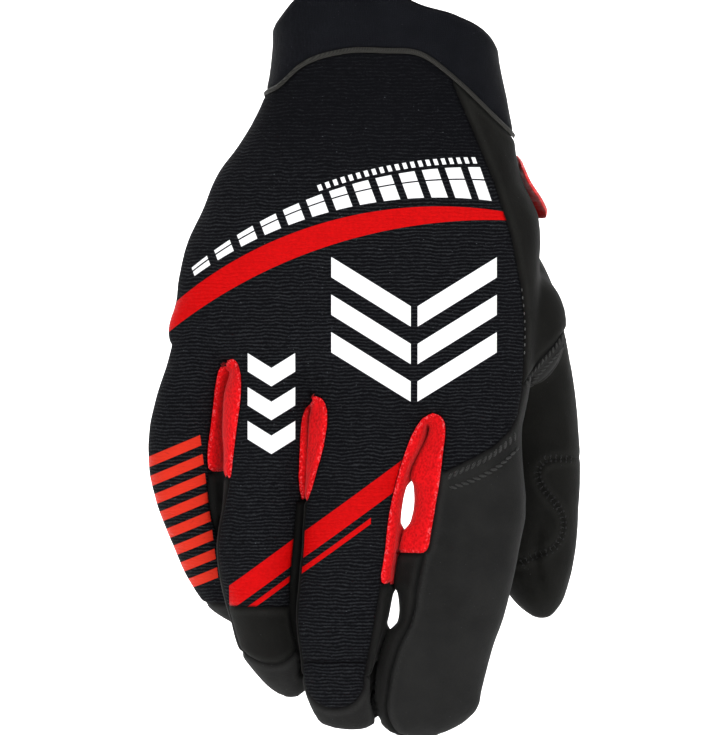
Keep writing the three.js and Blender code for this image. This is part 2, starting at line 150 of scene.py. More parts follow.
def distance_to_outline(flat: np.ndarray, outline: np.ndarray) -> np.ndarray:
    """Signed distance from points to a closed outline, negative inside."""
    inside = np.zeros(len(flat), bool)
    x, z = flat[:, 0], flat[:, 1]
    for (ax, az), (bx, bz) in zip(outline, np.roll(outline, -1, axis=0)):
        if az != bz:
            crosses = ((az > z) != (bz > z)) & (x < (bx - ax) * (z - az) / (bz - az) + ax)
            inside ^= crosses
    return np.where(inside, -1.0, 1.0) * distance_to_line(flat, outline, closed=True)


class Part(Enum):
    """The parts of the hand that the form is made of."""

    PALM = "palm"
    LITTLE = "little"
    RING = "ring"
    MIDDLE = "middle"
    INDEX = "index"
    THUMB = "thumb"


@dataclass
class Tube:
    """One part of the hand, as sections down the glove.

    A row holds down, left, right, middle and half, and then for a finger the angles of the two
    seams beside the strip on its back, and for the palm its lean and droop. Down is a share of
    HAND_LENGTH, left and right of HAND_BREADTH, middle, half and droop of HAND_DEPTH.
    """

    part: Part
    rows: tuple[tuple[float, ...], ...]
    squareness: float = 2.2

    def column(self, index: int, down: np.ndarray) -> np.ndarray:
        """Values of one column at some places down the glove."""
        table = np.array(self.rows)
        return smooth_at(table[:, 0], table[:, index], np.asarray(down, float))

    @property
    def top(self) -> float:
        """Where the tube starts, as a share of HAND_LENGTH."""
        return self.rows[0][0]

    @property
    def tip(self) -> float:
        """Where the tube ends, as a share of HAND_LENGTH."""
        return self.rows[-1][0]

    def measures(self, down: np.ndarray) -> tuple[np.ndarray, ...]:
        """Middle and half width, and middle and half depth, of the sections at some places."""
        left, right = (self.column(i, down) * HAND_BREADTH for i in (1, 2))
        middle, half = (self.column(i, down) * HAND_DEPTH for i in (3, 4))
        return (left + right) / 2, (right - left) / 2, middle, half

    def surface(self, down: np.ndarray, angle: np.ndarray, grow: float) -> Points:
        """Points of the form.

        Args:
            down: Places down the glove.
            angle: Angle round the section at each place, in radians, 0 on the thumb side.
            grow: How far outside the form the points lie.

        Returns:
            The points.
        """
        centre, wide, middle, deep = self.measures(down)
        power = 2 / self.squareness
        offset = (wide + grow) * np.sign(np.cos(angle)) * np.abs(np.cos(angle)) ** power
        out = (deep + grow) * np.sign(np.sin(angle)) * np.abs(np.sin(angle)) ** power
        side = offset / (2 * wide)
        lean, droop = (0.0, 0.0)
        if self.part is Part.PALM:
            lean, droop = self.column(5, down), self.column(6, down)
        curl = droop * HAND_DEPTH * np.minimum(2 * side, 0) ** 2
        z = -HAND_LENGTH * (down + lean * side)
        return np.stack([centre + offset, middle + curl + out, z], axis=-1)

    def locate(self, points: Points) -> tuple[np.ndarray, np.ndarray, np.ndarray]:
        """Where points lie in the tube's own terms.

        Args:
            points: Points in the frame.

        Returns:
            Down as a share, angle in degrees from -45 to 315 turned to 0 to 360 and over, and how
            far outside the tube's surface each point lies.
        """
        down = np.clip(-points[:, 2] / HAND_LENGTH, self.top, self.tip)
        centre, wide, middle, deep = self.measures(down)
        u, v = (points[:, 0] - centre) / wide, (points[:, 1] - middle) / deep
        n = self.squareness
        ratio = (np.abs(u) ** n + np.abs(v) ** n) ** (1 / n)
        sine = np.sign(v) * np.abs(v) ** (n / 2)
        cosine = np.sign(u) * np.abs(u) ** (n / 2)
        angle = np.degrees(np.arctan2(sine, cosine)) % 360
        over = np.maximum(-points[:, 2] - self.tip * HAND_LENGTH, 0)
        outside = (ratio - 1) * np.minimum(wide, deep) + over
        return down, angle, outside


PALM = Tube(
    Part.PALM,
    (
        (-0.03, -0.318, 0.312, 0.0, 0.5, 0.0, 0.0),
        (0.1, -0.321, 0.325, 0.0, 0.495, 0.0, 0.0),
        (0.15, -0.346, 0.346, 0.0, 0.485, 0.0, 0.0),
        (0.2, -0.4, 0.364, 0.0, 0.475, 0.0, 0.02),
        (0.25, -0.468, 0.388, -0.01, 0.465, 0.005, 0.05),
        (0.3, -0.512, 0.434, -0.02, 0.46, 0.01, 0.08),
        (0.35, -0.555, 0.437, -0.025, 0.45, 0.02, 0.12),
        (0.4, -0.577, 0.43, -0.04, 0.435, 0.035, 0.16),
        (0.45, -0.587, 0.42, -0.06, 0.4, 0.06, 0.19),
        (0.5, -0.608, 0.405, -0.08, 0.345, 0.09, 0.22),
        (0.53, -0.605, 0.385, -0.09, 0.27, 0.115, 0.235),
    ),
    squareness=2.5,
)
LITTLE = Tube(
    Part.LITTLE,
    (
        (0.44, -0.575, -0.37, 0.06, 0.26, 170, 322),
        (0.5, -0.61, -0.425, 0.11, 0.265, 170, 322),
        (0.55, -0.643, -0.453, 0.14, 0.265, 170, 322),
        (0.6, -0.664, -0.459, 0.18, 0.265, 170, 318),
        (0.65, -0.662, -0.452, 0.23, 0.26, 170, 307),
        (0.7, -0.636, -0.434, 0.29, 0.255, 170, 297),
        (0.75, -0.596, -0.404, 0.36, 0.25, 170, 295),
        (0.8, -0.549, -0.372, 0.44, 0.225, 170, 300),
        (0.83, -0.505, -0.365, 0.49, 0.18, 170, 330),
        (0.848, -0.46, -0.37, 0.52, 0.12, 170, 330),
        (0.858, -0.425, -0.395, 0.535, 0.06, 170, 330),
    ),
)
RING = Tube(
    Part.RING,
    (
        (0.44, -0.43, -0.16, -0.06, 0.3, 228, 325),
        (0.5, -0.425, -0.175, -0.06, 0.3, 228, 325),
        (0.55, -0.453, -0.2, -0.06, 0.3, 228, 325),
        (0.6, -0.459, -0.208, -0.05, 0.3, 226, 325),
        (0.65, -0.456, -0.22, -0.04, 0.295, 214, 325),
        (0.7, -0.462, -0.229, -0.02, 0.295, 197, 325),
        (0.75, -0.474, -0.236, 0.0, 0.29, 195, 325),
        (0.8, -0.466, -0.246, 0.04, 0.28, 195, 325),
        (0.85, -0.44, -0.251, 0.1, 0.265, 195, 325),
        (0.9, -0.4, -0.23, 0.18, 0.225, 195, 325),
        (0.935, -0.343, -0.215, 0.235, 0.15, 195, 325),
        (0.949, -0.312, -0.215, 0.26, 0.09, 195, 325),
        (0.956, -0.285, -0.235, 0.265, 0.05, 195, 325),
    ),
)
MIDDLE = Tube(
    Part.MIDDLE,
    (
        (0.46, -0.22, 0.15, -0.085, 0.31, 214, 328),
        (0.5, -0.22, 0.15, -0.095, 0.31, 214, 328),
        (0.55, -0.2, 0.14, -0.11, 0.31, 214, 328),
        (0.6, -0.208, 0.124, -0.13, 0.31, 212, 328),
        (0.65, -0.22, 0.077, -0.15, 0.31, 205, 330),
        (0.7, -0.229, 0.053, -0.165, 0.305, 195, 322),
        (0.75, -0.236, 0.046, -0.16, 0.3, 192, 318),
        (0.8, -0.246, 0.031, -0.13, 0.295, 192, 315),
        (0.85, -0.251, 0.012, -0.08, 0.285, 192, 315),
        (0.9, -0.24, -0.012, 0.0, 0.265, 192, 315),
        (0.95, -0.228, -0.026, 0.09, 0.21, 192, 315),
        (0.98, -0.203, -0.02, 0.14, 0.14, 192, 315),
        (0.994, -0.18, -0.025, 0.155, 0.09, 192, 315),
        (1.0, -0.14, -0.05, 0.16, 0.05, 192, 315),
    ),
)
INDEX = Tube(
    Part.INDEX,
    (
        (0.44, 0.09, 0.4, -0.06, 0.3, 215, 385),
        (0.5, 0.095, 0.4, -0.075, 0.305, 215, 385),
        (0.55, 0.116, 0.392, -0.09, 0.31, 215, 385),
        (0.6, 0.126, 0.385, -0.1, 0.31, 215, 385),
        (0.65, 0.08, 0.392, -0.11, 0.31, 218, 385),
        (0.7, 0.076, 0.4, -0.125, 0.31, 222, 385),
        (0.75, 0.047, 0.384, -0.13, 0.31, 233, 385),
        (0.8, 0.032, 0.361, -0.115, 0.305, 231, 385),
        (0.85, 0.037, 0.335, -0.07, 0.295, 222, 385),
        (0.9, -0.008, 0.302, 0.01, 0.275, 222, 385),
        (0.95, -0.032, 0.275, 0.1, 0.235, 222, 385),
        (0.98, -0.03, 0.255, 0.155, 0.18, 222, 385),
        (1.0, 0.0, 0.195, 0.185, 0.11, 222, 385),
        (1.009, 0.03, 0.145, 0.195, 0.05, 222, 385),
    ),
)
THUMB = Tube(
    Part.THUMB,
    (
        (0.24, 0.08, 0.34, 0.14, 0.29, 180, 360),
        (0.3, 0.1, 0.372, 0.19, 0.31, 180, 360),
        (0.4, 0.17, 0.472, 0.37, 0.335, 180, 360),
        (0.5, 0.23, 0.52, 0.55, 0.335, 180, 360),
        (0.6, 0.26, 0.543, 0.63, 0.325, 180, 360),
        (0.7, 0.27, 0.541, 0.65, 0.31, 180, 360),
        (0.75, 0.285, 0.534, 0.645, 0.285, 180, 360),
        (0.8, 0.32, 0.518, 0.63, 0.23, 180, 360),
        (0.83, 0.37, 0.495, 0.62, 0.155, 180, 360),
        (0.847, 0.415, 0.468, 0.615, 0.07, 180, 360),
    ),
)
FINGERS = {tube.part: tube for tube in (LITTLE, RING, MIDDLE, INDEX, THUMB)}

# across, height of the wrist mouth and of the seam under the band, on the back of the glove
CUFF_LINES = np.array(
    [
        (-0.36, 0.07, 0.135),
        (-0.3, 0.035, 0.125),
        (-0.24, 0.005, 0.1),
        (-0.12, -0.01, 0.08),
        (0.0, -0.002, 0.079),
        (0.1, 0.02, 0.084),
        (0.2, 0.0335, 0.119),
        (0.3, 0.061, 0.164),
        (0.36, 0.1, 0.19),
    ]
)
PALM_CUFF_SEAM = 0.15
CUFF_BLEND = 0.3 * HAND_DEPTH

BACK_SEAM = (
    (0.15, -0.05),
    (0.19, 0.127),
    (0.244, 0.187),
    (0.305, 0.257),
    (0.353, 0.332),
    (0.381, 0.4),
    (0.391, 0.45),
    (0.389, 0.5),
    (0.384, 0.541),
    (0.372, 0.574),
)
BACK_HEM = (
    (0.35, 0.594),
    (0.305, 0.615),
    (0.241, 0.632),
    (0.171, 0.648),
    (0.13, 0.655),
    (0.12, 0.6),
    (0.13, 0.57),
    (-0.19, 0.545),
    (-0.42, 0.5),
    (-1.0, 0.5),
)
THUMB_SEAM = (
    (0.8, 0.4),
    (0.504, 0.459),
    (0.473, 0.48),
    (0.434, 0.499),
    (0.389, 0.531),
    (0.3, 0.6),
    (0.1, 0.66),
)
PATCH_SEAM = (
    (0.8, 0.634),
    (0.52, 0.634),
    (0.455, 0.638),
    (0.43, 0.655),
    (0.445, 0.677),
    (0.495, 0.703),
    (0.51, 0.722),
    (0.5, 0.745),
    (0.465, 0.763),
    (0.385, 0.778),
    (0.2, 0.79),
)
THUMB_WEB_SIZE = (10.6, 9.5, 15.5)  # cloth between the hand and the foot of the thumb, in mm
THUMB_WEB_PLACE = (39.6, 6.5, -93.5)
BACK_DEPTH = 0.1 * HAND_DEPTH
STRIP_DEPTH = 0.28 * HAND_DEPTH
THUMB_REACH = 6.0 * MM  # how far from the thumb's form its cloth still lies, at its foot


@dataclass(frozen=True)
class Gusset:
    """Red gusset between two fingers.

    It has the shares down the glove where its two walls end, its outline as seen from the back,
    and the stretches where the fingers stand apart so that light comes through between them.
    """

    little_side: Part
    thumb_side: Part
    little_end: float
    thumb_end: float
    outline: Outline
    openings: tuple[tuple[float, float], ...] = ()


GUSSETS = (
    Gusset(
        Part.LITTLE, Part.RING, 0.652, 0.66,
        (
            (-0.496, 0.641), (-0.495, 0.621), (-0.488, 0.598), (-0.481, 0.573), (-0.475, 0.546),
            (-0.47, 0.528), (-0.463, 0.512), (-0.449, 0.503), (-0.428, 0.497), (-0.412, 0.505),
            (-0.405, 0.517), (-0.402, 0.535), (-0.404, 0.554), (-0.411, 0.576), (-0.421, 0.613),
            (-0.428, 0.635), (-0.433, 0.66), (-0.445, 0.66), (-0.447, 0.652), (-0.49, 0.652),
        ),
    ),
    Gusset(
        Part.RING, Part.MIDDLE, 0.69, 0.69,
        (
            (-0.238, 0.663), (-0.237, 0.643), (-0.235, 0.62), (-0.231, 0.595), (-0.227, 0.576),
            (-0.216, 0.564), (-0.203, 0.552), (-0.19, 0.547), (-0.173, 0.553), (-0.163, 0.566),
            (-0.163, 0.582), (-0.166, 0.595), (-0.173, 0.614), (-0.183, 0.633), (-0.194, 0.651),
            (-0.205, 0.67), (-0.216, 0.684), (-0.226, 0.694), (-0.234, 0.68),
        ),
    ),
    Gusset(
        Part.MIDDLE, Part.INDEX, 0.805, 0.761,
        (
            (-0.016, 0.806), (0.0, 0.764), (0.009, 0.719), (0.023, 0.684), (0.039, 0.653),
            (0.058, 0.623), (0.074, 0.601), (0.102, 0.578), (0.139, 0.57), (0.162, 0.579),
            (0.166, 0.596), (0.158, 0.628), (0.151, 0.662), (0.137, 0.7), (0.125, 0.737),
            (0.115, 0.762), (0.054, 0.76), (0.042, 0.78), (0.034, 0.8),
        ),
        openings=((0.669, 0.722), (0.8155, 0.859)),
    ),
)
SIDE_WALL_LEAD = 0.05  # how far up behind the gussets the black side walls are cut
SIDE_REACH = 2.2 * MM
STRIP_SPARE = 34  # degrees that the strips reach further round beside the gussets
SIDE_WALL_ENDS = {Part.LITTLE: 0.82, Part.RING: 0.9, Part.MIDDLE: 0.93, Part.INDEX: 1.03}
STRIP_ENDS = {Part.LITTLE: 0.835, Part.RING: 0.835, Part.MIDDLE: 0.91}
STRIP_START = 0.48


@dataclass(frozen=True)
class Fold:
    """A crease or a ridge in the cloth, along a line seen from the back of the glove.

    The line's corners are x and distance down in millimetres. A negative height is a crease.
    """

    line: Outline
    height: float
    width: float
    back: bool = True

    def lift(self, points: Points) -> np.ndarray:
        """How far the fold lifts each point, in metres."""
        line = np.array([(x * MM, -d * MM) for x, d in self.line])
        flat = points[:, [0, 2]]
        near = distance_to_line(flat, line) / (self.width * MM)
        ends = np.minimum(
            np.linalg.norm(flat - line[0], axis=1), np.linalg.norm(flat - line[-1], axis=1)
        )
        fade = 0.35 + 0.65 * smoothstep(ends, 0, 3 * self.width * MM)
        return self.height * MM * np.exp(-near * near) * fade


FOLDS = (
    Fold(((43.5, 148), (42, 159), (44, 166)), -0.9, 1.4),
    Fold(((46, 150), (45, 160), (47, 168)), 0.6, 1.6),
    Fold(((41, 143), (50, 147)), -0.5, 1.6),
    Fold(((12, 150), (22, 153), (33, 150)), -0.5, 2.2),
    Fold(((9, 171), (19, 173), (29, 169)), -0.45, 2.0),
    Fold(((-17, 136), (-8, 138), (1, 135)), -0.35, 2.0),
    Fold(((-44, 138), (-36, 140), (-26, 137)), -0.35, 2.0),
    Fold(((-64, 128), (-56, 131), (-48, 128)), -0.35, 1.8),
    Fold(((-33, 20), (-20, 14), (0, 13), (20, 17)), 0.35, 3.0),
    Fold(((30, 33), (36, 45), (41, 58)), -0.5, 2.4),
)


class Wire:
    """A shader value that Python's operators work on."""

    def __init__(self, paint: "Paint", socket: bpy.types.NodeSocket) -> None:
        """Wraps a socket.

        Args:
            paint: The material that the socket belongs to.
            socket: The output that gives the value.
        """
        self.paint = paint
        self.socket = socket

    def __add__(self, other: "Wire | float") -> "Wire":
        """Sum."""
        return self.paint.math("ADD", self, other)

    __radd__ = __add__

    def __sub__(self, other: "Wire | float") -> "Wire":
        """Difference."""
        return self.paint.math("SUBTRACT", self, other)

    def __rsub__(self, other: "Wire | float") -> "Wire":
        """Difference from a number."""
        return self.paint.math("SUBTRACT", other, self)

    def __mul__(self, other: "Wire | float") -> "Wire":
        """Product."""
        return self.paint.math("MULTIPLY", self, other)

    __rmul__ = __mul__

    def __truediv__(self, other: "Wire | float") -> "Wire":
        """Quotient."""
        return self.paint.math("DIVIDE", self, other)

    def __pow__(self, other: float) -> "Wire":
        """Power."""
        return self.paint.math("POWER", self, other)

    def __abs__(self) -> "Wire":
        """Size without the sign."""
        return self.paint.math("ABSOLUTE", self)

    def __and__(self, other: "Wire | float") -> "Wire":
        """The smaller of two values: where both masks hold."""
        return self.paint.math("MINIMUM", self, other)

    def __or__(self, other: "Wire | float") -> "Wire":
        """The larger of two values: where either mask holds."""
        return self.paint.math("MAXIMUM", self, other)

    def sine(self) -> "Wire":
        """Sine of an angle in radians."""
        return self.paint.math("SINE", self)

    def fraction(self) -> "Wire":
        """What is left after the whole number."""
        return self.paint.math("FRACT", self)

    def rise(self, low: float, high: float) -> "Wire":
        """Smooth mask from 0 at low to 1 at high, or falling where high is the smaller."""
        flip = high < low
        node = self.paint.node(
            "ShaderNodeMapRange",
            {"interpolation_type": "SMOOTHSTEP"},
            {"Value": self, "From Min": min(low, high), "From Max": max(low, high),
             "To Min": 1.0 if flip else 0.0, "To Max": 0.0 if flip else 1.0},
        )
        return Wire(self.paint, node.outputs["Result"])

    def within(self, low: float, high: float, edge: float) -> "Wire":
        """Mask of what lies between two values, with edges that are a little soft."""
        return self.rise(low - edge / 2, low + edge / 2) & self.rise(high + edge / 2, high - edge / 2)


Value = Wire | float
Colour = tuple[float, float, float]


class Paint:
    """One material that is being mixed."""

    def __init__(self, name: str) -> None:
        """Starts a material.

        Args:
            name: Its name.
        """
        self.material = bpy.data.materials.new(name)
        self.material.use_nodes = True
        self.tree = self.material.node_tree
        self.shader = self.tree.nodes["Principled BSDF"]

    def node(self, kind: str, settings: dict[str, object],
             sockets: dict[str | int, object]) -> bpy.types.Node:
        """Adds a node.

        Args:
            kind: Type of the node.
            settings: Its own settings, which are set first.
            sockets: Values or links of its inputs, by name or number.

        Returns:
            The node.
        """
        made = self.tree.nodes.new(kind)
        for name, value in settings.items():
            setattr(made, name, value)
        for name, value in sockets.items():
            if isinstance(value, Wire):
                self.tree.links.new(value.socket, made.inputs[name])
            else:
                made.inputs[name].default_value = value
        return made

    def math(self, operation: str, *values: Value) -> Wire:
        """Adds one step of arithmetic."""
        node = self.node("ShaderNodeMath", {"operation": operation}, dict(enumerate(values)))
        return Wire(self, node.outputs[0])

    def place(self) -> tuple[Wire, Wire, Wire]:
        """Place on the glove in millimetres: x, y and distance down from the wrist."""
        spot = self.node("ShaderNodeTexCoord", {}, {})
        parts = self.node(
            "ShaderNodeSeparateXYZ", {}, {"Vector": Wire(self, spot.outputs["Object"])}
        )
        x, y, z = (Wire(self, parts.outputs[axis]) / MM for axis in "XYZ")
        return x, y, 0.0 - z

    def vector(self, x: Value, y: Value, z: Value) -> Wire:
        """Puts three values together."""
        node = self.node("ShaderNodeCombineXYZ", {}, {"X": x, "Y": y, "Z": z})
        return Wire(self, node.outputs[0])

    def cloud(self, where: Wire, scale: float, detail: float = 3.0) -> Wire:
        """Soft random value from 0 to 1.

        Args:
            where: Place that it depends on.
            scale: How many waves there are in each unit of the place.
            detail: How many finer layers are added.

        Returns:
            The value.
        """
        node = self.node(
            "ShaderNodeTexNoise", {}, {"Vector": where, "Scale": scale, "Detail": detail}
        )
        return Wire(self, node.outputs["Fac"])

    def cells(self, where: Wire, scale: float) -> tuple[Wire, Wire]:
        """Distance from the middle of scattered cells, and a random value for each cell."""
        node = self.node("ShaderNodeTexVoronoi", {}, {"Vector": where, "Scale": scale})
        parts = self.node(
            "ShaderNodeSeparateColor", {}, {"Color": Wire(self, node.outputs["Color"])}
        )
        return Wire(self, node.outputs["Distance"]), Wire(self, parts.outputs[0])

    def attribute(self, name: str) -> Wire:
        """Value that is stored on the mesh."""
        node = self.node("ShaderNodeAttribute", {"attribute_name": name}, {})
        return Wire(self, node.outputs["Fac"])

    def blend(self, mask: Value, low: Wire | Colour, high: Wire | Colour) -> Wire:
        """Mixes two colours by a mask."""
        ends = [c if isinstance(c, Wire) else (*c, 1.0) for c in (low, high)]
        node = self.node(
            "ShaderNodeMix", {"data_type": "RGBA"}, {"Factor": mask, 6: ends[0], 7: ends[1]}
        )
        return Wire(self, node.outputs[2])

    def relief(self, height: Wire, depth: float, under: Wire | None = None) -> Wire:
        """Turns a height from 0 to 1 into a bumpy normal.

        Args:
            height: The height.
            depth: How high 1 is, in metres.
            under: Another relief that lies below it.

        Returns:
            The normal.
        """
        sockets: dict[str | int, object] = {"Height": height, "Distance": depth}
        if under is not None:
            sockets["Normal"] = under
        node = self.node("ShaderNodeBump", {}, sockets)
        return Wire(self, node.outputs["Normal"])

    def finish(self, colour: Wire, roughness: Wire, normal: Wire,
               **constants: float) -> bpy.types.Material:
        """Connects the shader.

        Args:
            colour: Base colour.
            roughness: Roughness.
            normal: Normal.
            constants: Other sockets of the shader, by their names with underscores.

        Returns:
            The finished material.
        """
        links = {"Base Color": colour, "Roughness": roughness, "Normal": normal}
        for name, wire in links.items():
            self.tree.links.new(wire.socket, self.shader.inputs[name])
        for name, value in constants.items():
            self.shader.inputs[name.replace("_", " ")].default_value = value
        return self.material


class Finish:
    """A finish of the glove, which knows how to mix its material."""

    name: str

    def mix(self) -> bpy.types.Material:
        """Mixes the material."""
        raise NotImplementedError


@dataclass(frozen=True)
class Suede(Finish):
    """Smooth synthetic leather with a short nap."""

    name: str
    dark: Colour
    light: Colour
    grain: float = 0.09 * MM
    shine: float = 0.06
    coarse: float = 1.0
    # how dark the seam groove is painted: painted shade, and dirt
    seam_shade_and_dirt: float = 0.8

    def mix(self) -> bpy.types.Material:
        """Mixes the material."""
        paint = Paint(self.name)
        x, y, down = paint.place()
        spot = paint.vector(x, y, down)
        patches = paint.cloud(spot, 0.09, 4.0)
        nap = paint.cloud(spot, 2.6 * self.coarse, 5.0)
        pores, lot = paint.cells(spot, 1.7 * self.coarse)
        edge = paint.attribute("seam") / MM
        # A band a few millimetres from the edge, on the crown of the rolled seam, is painted lighter:
        # painted highlight on the roll, and wear.
        worn = edge.rise(0.5, 1.5) & edge.rise(3.2, 1.8)
        tone = (patches * 0.55 + nap * 0.45).rise(0.3, 0.72)
        colour = paint.blend(tone, self.dark, self.light)
        crown_highlight_and_rub = tuple(min(1.0, c * 1.5 + 0.006) for c in self.light)
        colour = paint.blend(worn * nap * 0.5, colour, crown_highlight_and_rub)
        # Darker within a millimetre of the edge, down in the seam groove: painted shade, and dirt.
        deep = tuple(c * 0.35 for c in self.dark)
        colour = paint.blend(edge.rise(0.9, 0.1) * self.seam_shade_and_dirt, colour, deep)
        fleck = pores.rise(0.16, 0.06) * lot.rise(0.965, 0.985)
        colour = paint.blend(fleck * 0.5, colour, (0.16, 0.16, 0.17))
        rough = 0.62 + nap * 0.22
        soft = paint.relief(patches, 0.5 * MM)
        fine = paint.relief(nap * 0.7 + pores * 0.3, self.grain, soft)
        return paint.finish(
            colour, rough, fine, Specular_IOR_Level=self.shine,
            Sheen_Weight=0.015, Sheen_Roughness=0.55,
        )


@dataclass(frozen=True)
class Knit(Finish):
    """Fine, dense stretch knit of the wrist band."""

    name: str
    dark: Colour
    light: Colour

    def mix(self) -> bpy.types.Material:
        """Mixes the material."""
        paint = Paint(self.name)
        x, y, down = paint.place()
        spot = paint.vector(x, y, down)
        patches = paint.cloud(spot, 0.12, 4.0)
        drift = paint.cloud(spot, 0.5, 2.0) * 1.6
        wales = ((x + y * 0.7 + drift) * (2 * math.pi / 0.62)).sine() * 0.5 + 0.5
        courses = ((down + drift) * (2 * math.pi / 0.5)).sine() * 0.5 + 0.5
        loops = wales * 0.55 + courses * 0.45
        fuzz = paint.cloud(spot, 3.2, 5.0)
        tone = (patches * 0.4 + loops * 0.25 + fuzz * 0.35).rise(0.3, 0.72)
        colour = paint.blend(tone, self.dark, self.light)
        near, lot = paint.cells(paint.vector(x, y, down * 1.6), 0.85)
        lint = near.rise(0.14, 0.04) * lot.rise(0.9, 0.93)
        colour = paint.blend(lint * 0.35, colour, (0.14, 0.14, 0.16))
        edge = paint.attribute("seam") / MM
        # Darker within a millimetre of the edge, down in the seam groove: painted shade, and dirt.
        colour = paint.blend(edge.rise(0.9, 0.1) * 0.7, colour, tuple(c * 0.3 for c in self.dark))
        rough = 0.72 + fuzz * 0.2
        base = paint.relief(patches, 0.45 * MM)
        normal = paint.relief(loops * 0.6 + fuzz * 0.4, 0.1 * MM, base)
        return paint.finish(
            colour, rough, normal, Specular_IOR_Level=0.05,
            Sheen_Weight=0.015, Sheen_Roughness=0.5,
        )


@dataclass(frozen=True)
class RibbedCloth(Finish):
    """Horizontally ribbed stretch cloth, with printed stripes, bars and chevrons."""

    name: str
    # shaded valley and lit crest of the ribs: painted shade and painted highlight of one black cloth
    rib_valley_shade: Colour = (0.0026, 0.0028, 0.0036)
    rib_crest_highlight: Colour = (0.021, 0.0222, 0.0248)
    white: Colour = (0.86, 0.86, 0.87)
    red: Colour = (0.48, 0.002, 0.0025)
    orange: Colour = (0.5, 0.022, 0.01)
    pitch: float = 0.98

    def arc(self, paint: Paint, x: Wire, down: Wire) -> tuple[Wire, Wire]:
        """Stripe over the back of the hand, and how far above it each place lies."""
        over = ((x - 15.3) ** 2.0 + (down - 176.9) ** 2.0) ** 0.5 - 117.2
        under = ((x - 30.1) ** 2.0 + (down - 211.7) ** 2.0) ** 0.5 - 148.3
        return over.rise(0.07, -0.07) & under.rise(-0.07, 0.07), over

    def bars(self, x: Wire, over: Wire) -> Wire:
        """Row of slanted bars above the arc that grow towards the thumb, and ticks above them."""
        slant = x + over * 0.36
        height = (x + 56.0) * 0.082 + 2.2
        tall = (slant / 6.6).fraction().within(0.08, 0.76, 0.014)
        tall = tall & over.rise(2.4, 2.55) & (over - height).rise(2.55, 2.4)
        tall = tall & slant.within(-52.8, 30.4, 0.1)
        cut = (over - height * 0.62).within(2.2, 2.62, 0.1)
        ticks = (slant / 2.2).fraction().within(0.12, 0.62, 0.03)
        ticks = ticks & (over - height).within(3.5, 5.2, 0.12) & slant.within(-15.4, 30.4, 0.1)
        return (tall & (1.0 - cut)) | ticks

    def chevrons(self, x: Wire, down: Wire) -> Wire:
        """Nested chevrons that point down the middle and the ring finger."""
        below = ((x - 30.1) ** 2.0 + (down - 211.7) ** 2.0) ** 0.5
        off = abs(x - 8.0)
        step = (down + off * 0.62 - 86.9) / 10.4
        lines = step.fraction().within(0.1, 0.64, 0.012)
        area = below.rise(145.1, 145.0) & off.rise(23.0, 22.9) & off.rise(0.9, 1.0)
        area = area & step.within(0.0, 3.0, 0.01)
        ring = (down + abs(x + 31.6) * 0.62 - 103.5) / 9.4
        small = ring.fraction().within(0.1, 0.64, 0.02) & ring.within(0.0, 3.0, 0.02)
        return (lines & area) | (small & x.within(-38.2, -25.0, 0.1))

    def bands(self, x: Wire, down: Wire) -> Wire:
        """Slanted bands over the ring and the middle finger."""
        line = down + x * 0.73
        wide = line.within(133.4, 140.6, 0.12) & x.within(-43.5, 8.0, 0.1)
        thin = line.within(143.0, 144.7, 0.12) & x.within(-43.5, -4.0, 0.1)
        return wide | thin

    def finger_bars(self, x: Wire, down: Wire) -> Wire:
        """Slanted bars down the little finger."""
        line = down + x * 0.42
        bars = (line / 5.6).fraction().within(0.12, 0.66, 0.02)
        edge = x - down * 0.12
        return bars & line.within(100.5, 144.0, 0.12) & edge.within(-82.5, -66.5, 0.12)

    def mix(self) -> bpy.types.Material:
        """Mixes the material."""
        paint = Paint(self.name)
        x, y, down = paint.place()
        spot = paint.vector(x, y, down)
        drift = paint.cloud(spot, 0.16, 3.0) * 1.9 + paint.cloud(spot, 1.3, 2.0) * 0.55
        wave = ((down + drift) * (2 * math.pi / self.pitch)).sine() * 0.5 + 0.5
        yarn = paint.cloud(paint.vector(x * 0.45, y * 0.45, down * 1.15), 1.25, 3.0)
        fuzz = paint.cloud(spot, 2.1, 4.0).rise(0.3, 0.7)
        # The rib crests are painted lighter and the valleys darker, painted highlight and painted shade of
        # the ribs, broken up by the yarn; the crests are fainter towards the wrist.
        ribs = wave * (0.3 + yarn * 0.95) * (down.rise(28.0, 66.0) * 0.45 + 0.55)
        tone = (ribs * 0.8 + fuzz * 0.3 - 0.1).rise(0.2, 1.0)
        colour = paint.blend(tone, self.rib_valley_shade, self.rib_crest_highlight)
        near, lot = paint.cells(paint.vector(x * 0.75, y * 0.75, down * 1.5), 1.0)
        lint = near.rise(0.2, 0.05) * lot.rise(0.8, 0.9) * yarn.rise(0.45, 0.62)
        colour = paint.blend(lint * 0.6, colour, (0.13, 0.135, 0.15))
        stripe, over = self.arc(paint, x, down)
        front = (y + 0.0).rise(7.0, 5.0)
        white = (self.bars(x, over) | self.chevrons(x, down)) & front
        red = (stripe | self.bands(x, down)) & y.rise(16.0, 12.0)
        orange = self.finger_bars(x, down) * (0.55 + yarn * 0.6).rise(0.5, 0.8)
        printed = (white | red) | orange
        scuff = paint.cloud(spot, 1.1, 5.0)
        colour = paint.blend(orange, colour, self.orange)
        colour = paint.blend(white, colour, paint.blend(scuff.rise(0.35, 0.7), (0.8, 0.8, 0.82), self.white))
        colour = paint.blend(red, colour, paint.blend(scuff.rise(0.3, 0.7), (0.4, 0.0016, 0.002), self.red))
        edge = paint.attribute("seam") / MM
        # Near black within a millimetre of the edge, down in the seam groove: painted shade, and dirt.
        colour = paint.blend(edge.rise(0.9, 0.1) * 0.75, colour, (0.001, 0.001, 0.0013))
        rough = 0.82 - printed * 0.34 + fuzz * 0.08
        film = paint.relief(printed, 0.09 * MM)
        height = ribs * (1.0 - printed * 0.55) + fuzz * 0.3 * (1.0 - printed * 0.7)
        normal = paint.relief(height, 0.24 * MM, film)
        return paint.finish(
            colour, rough, normal, Specular_IOR_Level=0.03,
            Sheen_Weight=0.0, Sheen_Roughness=0.6,
        )


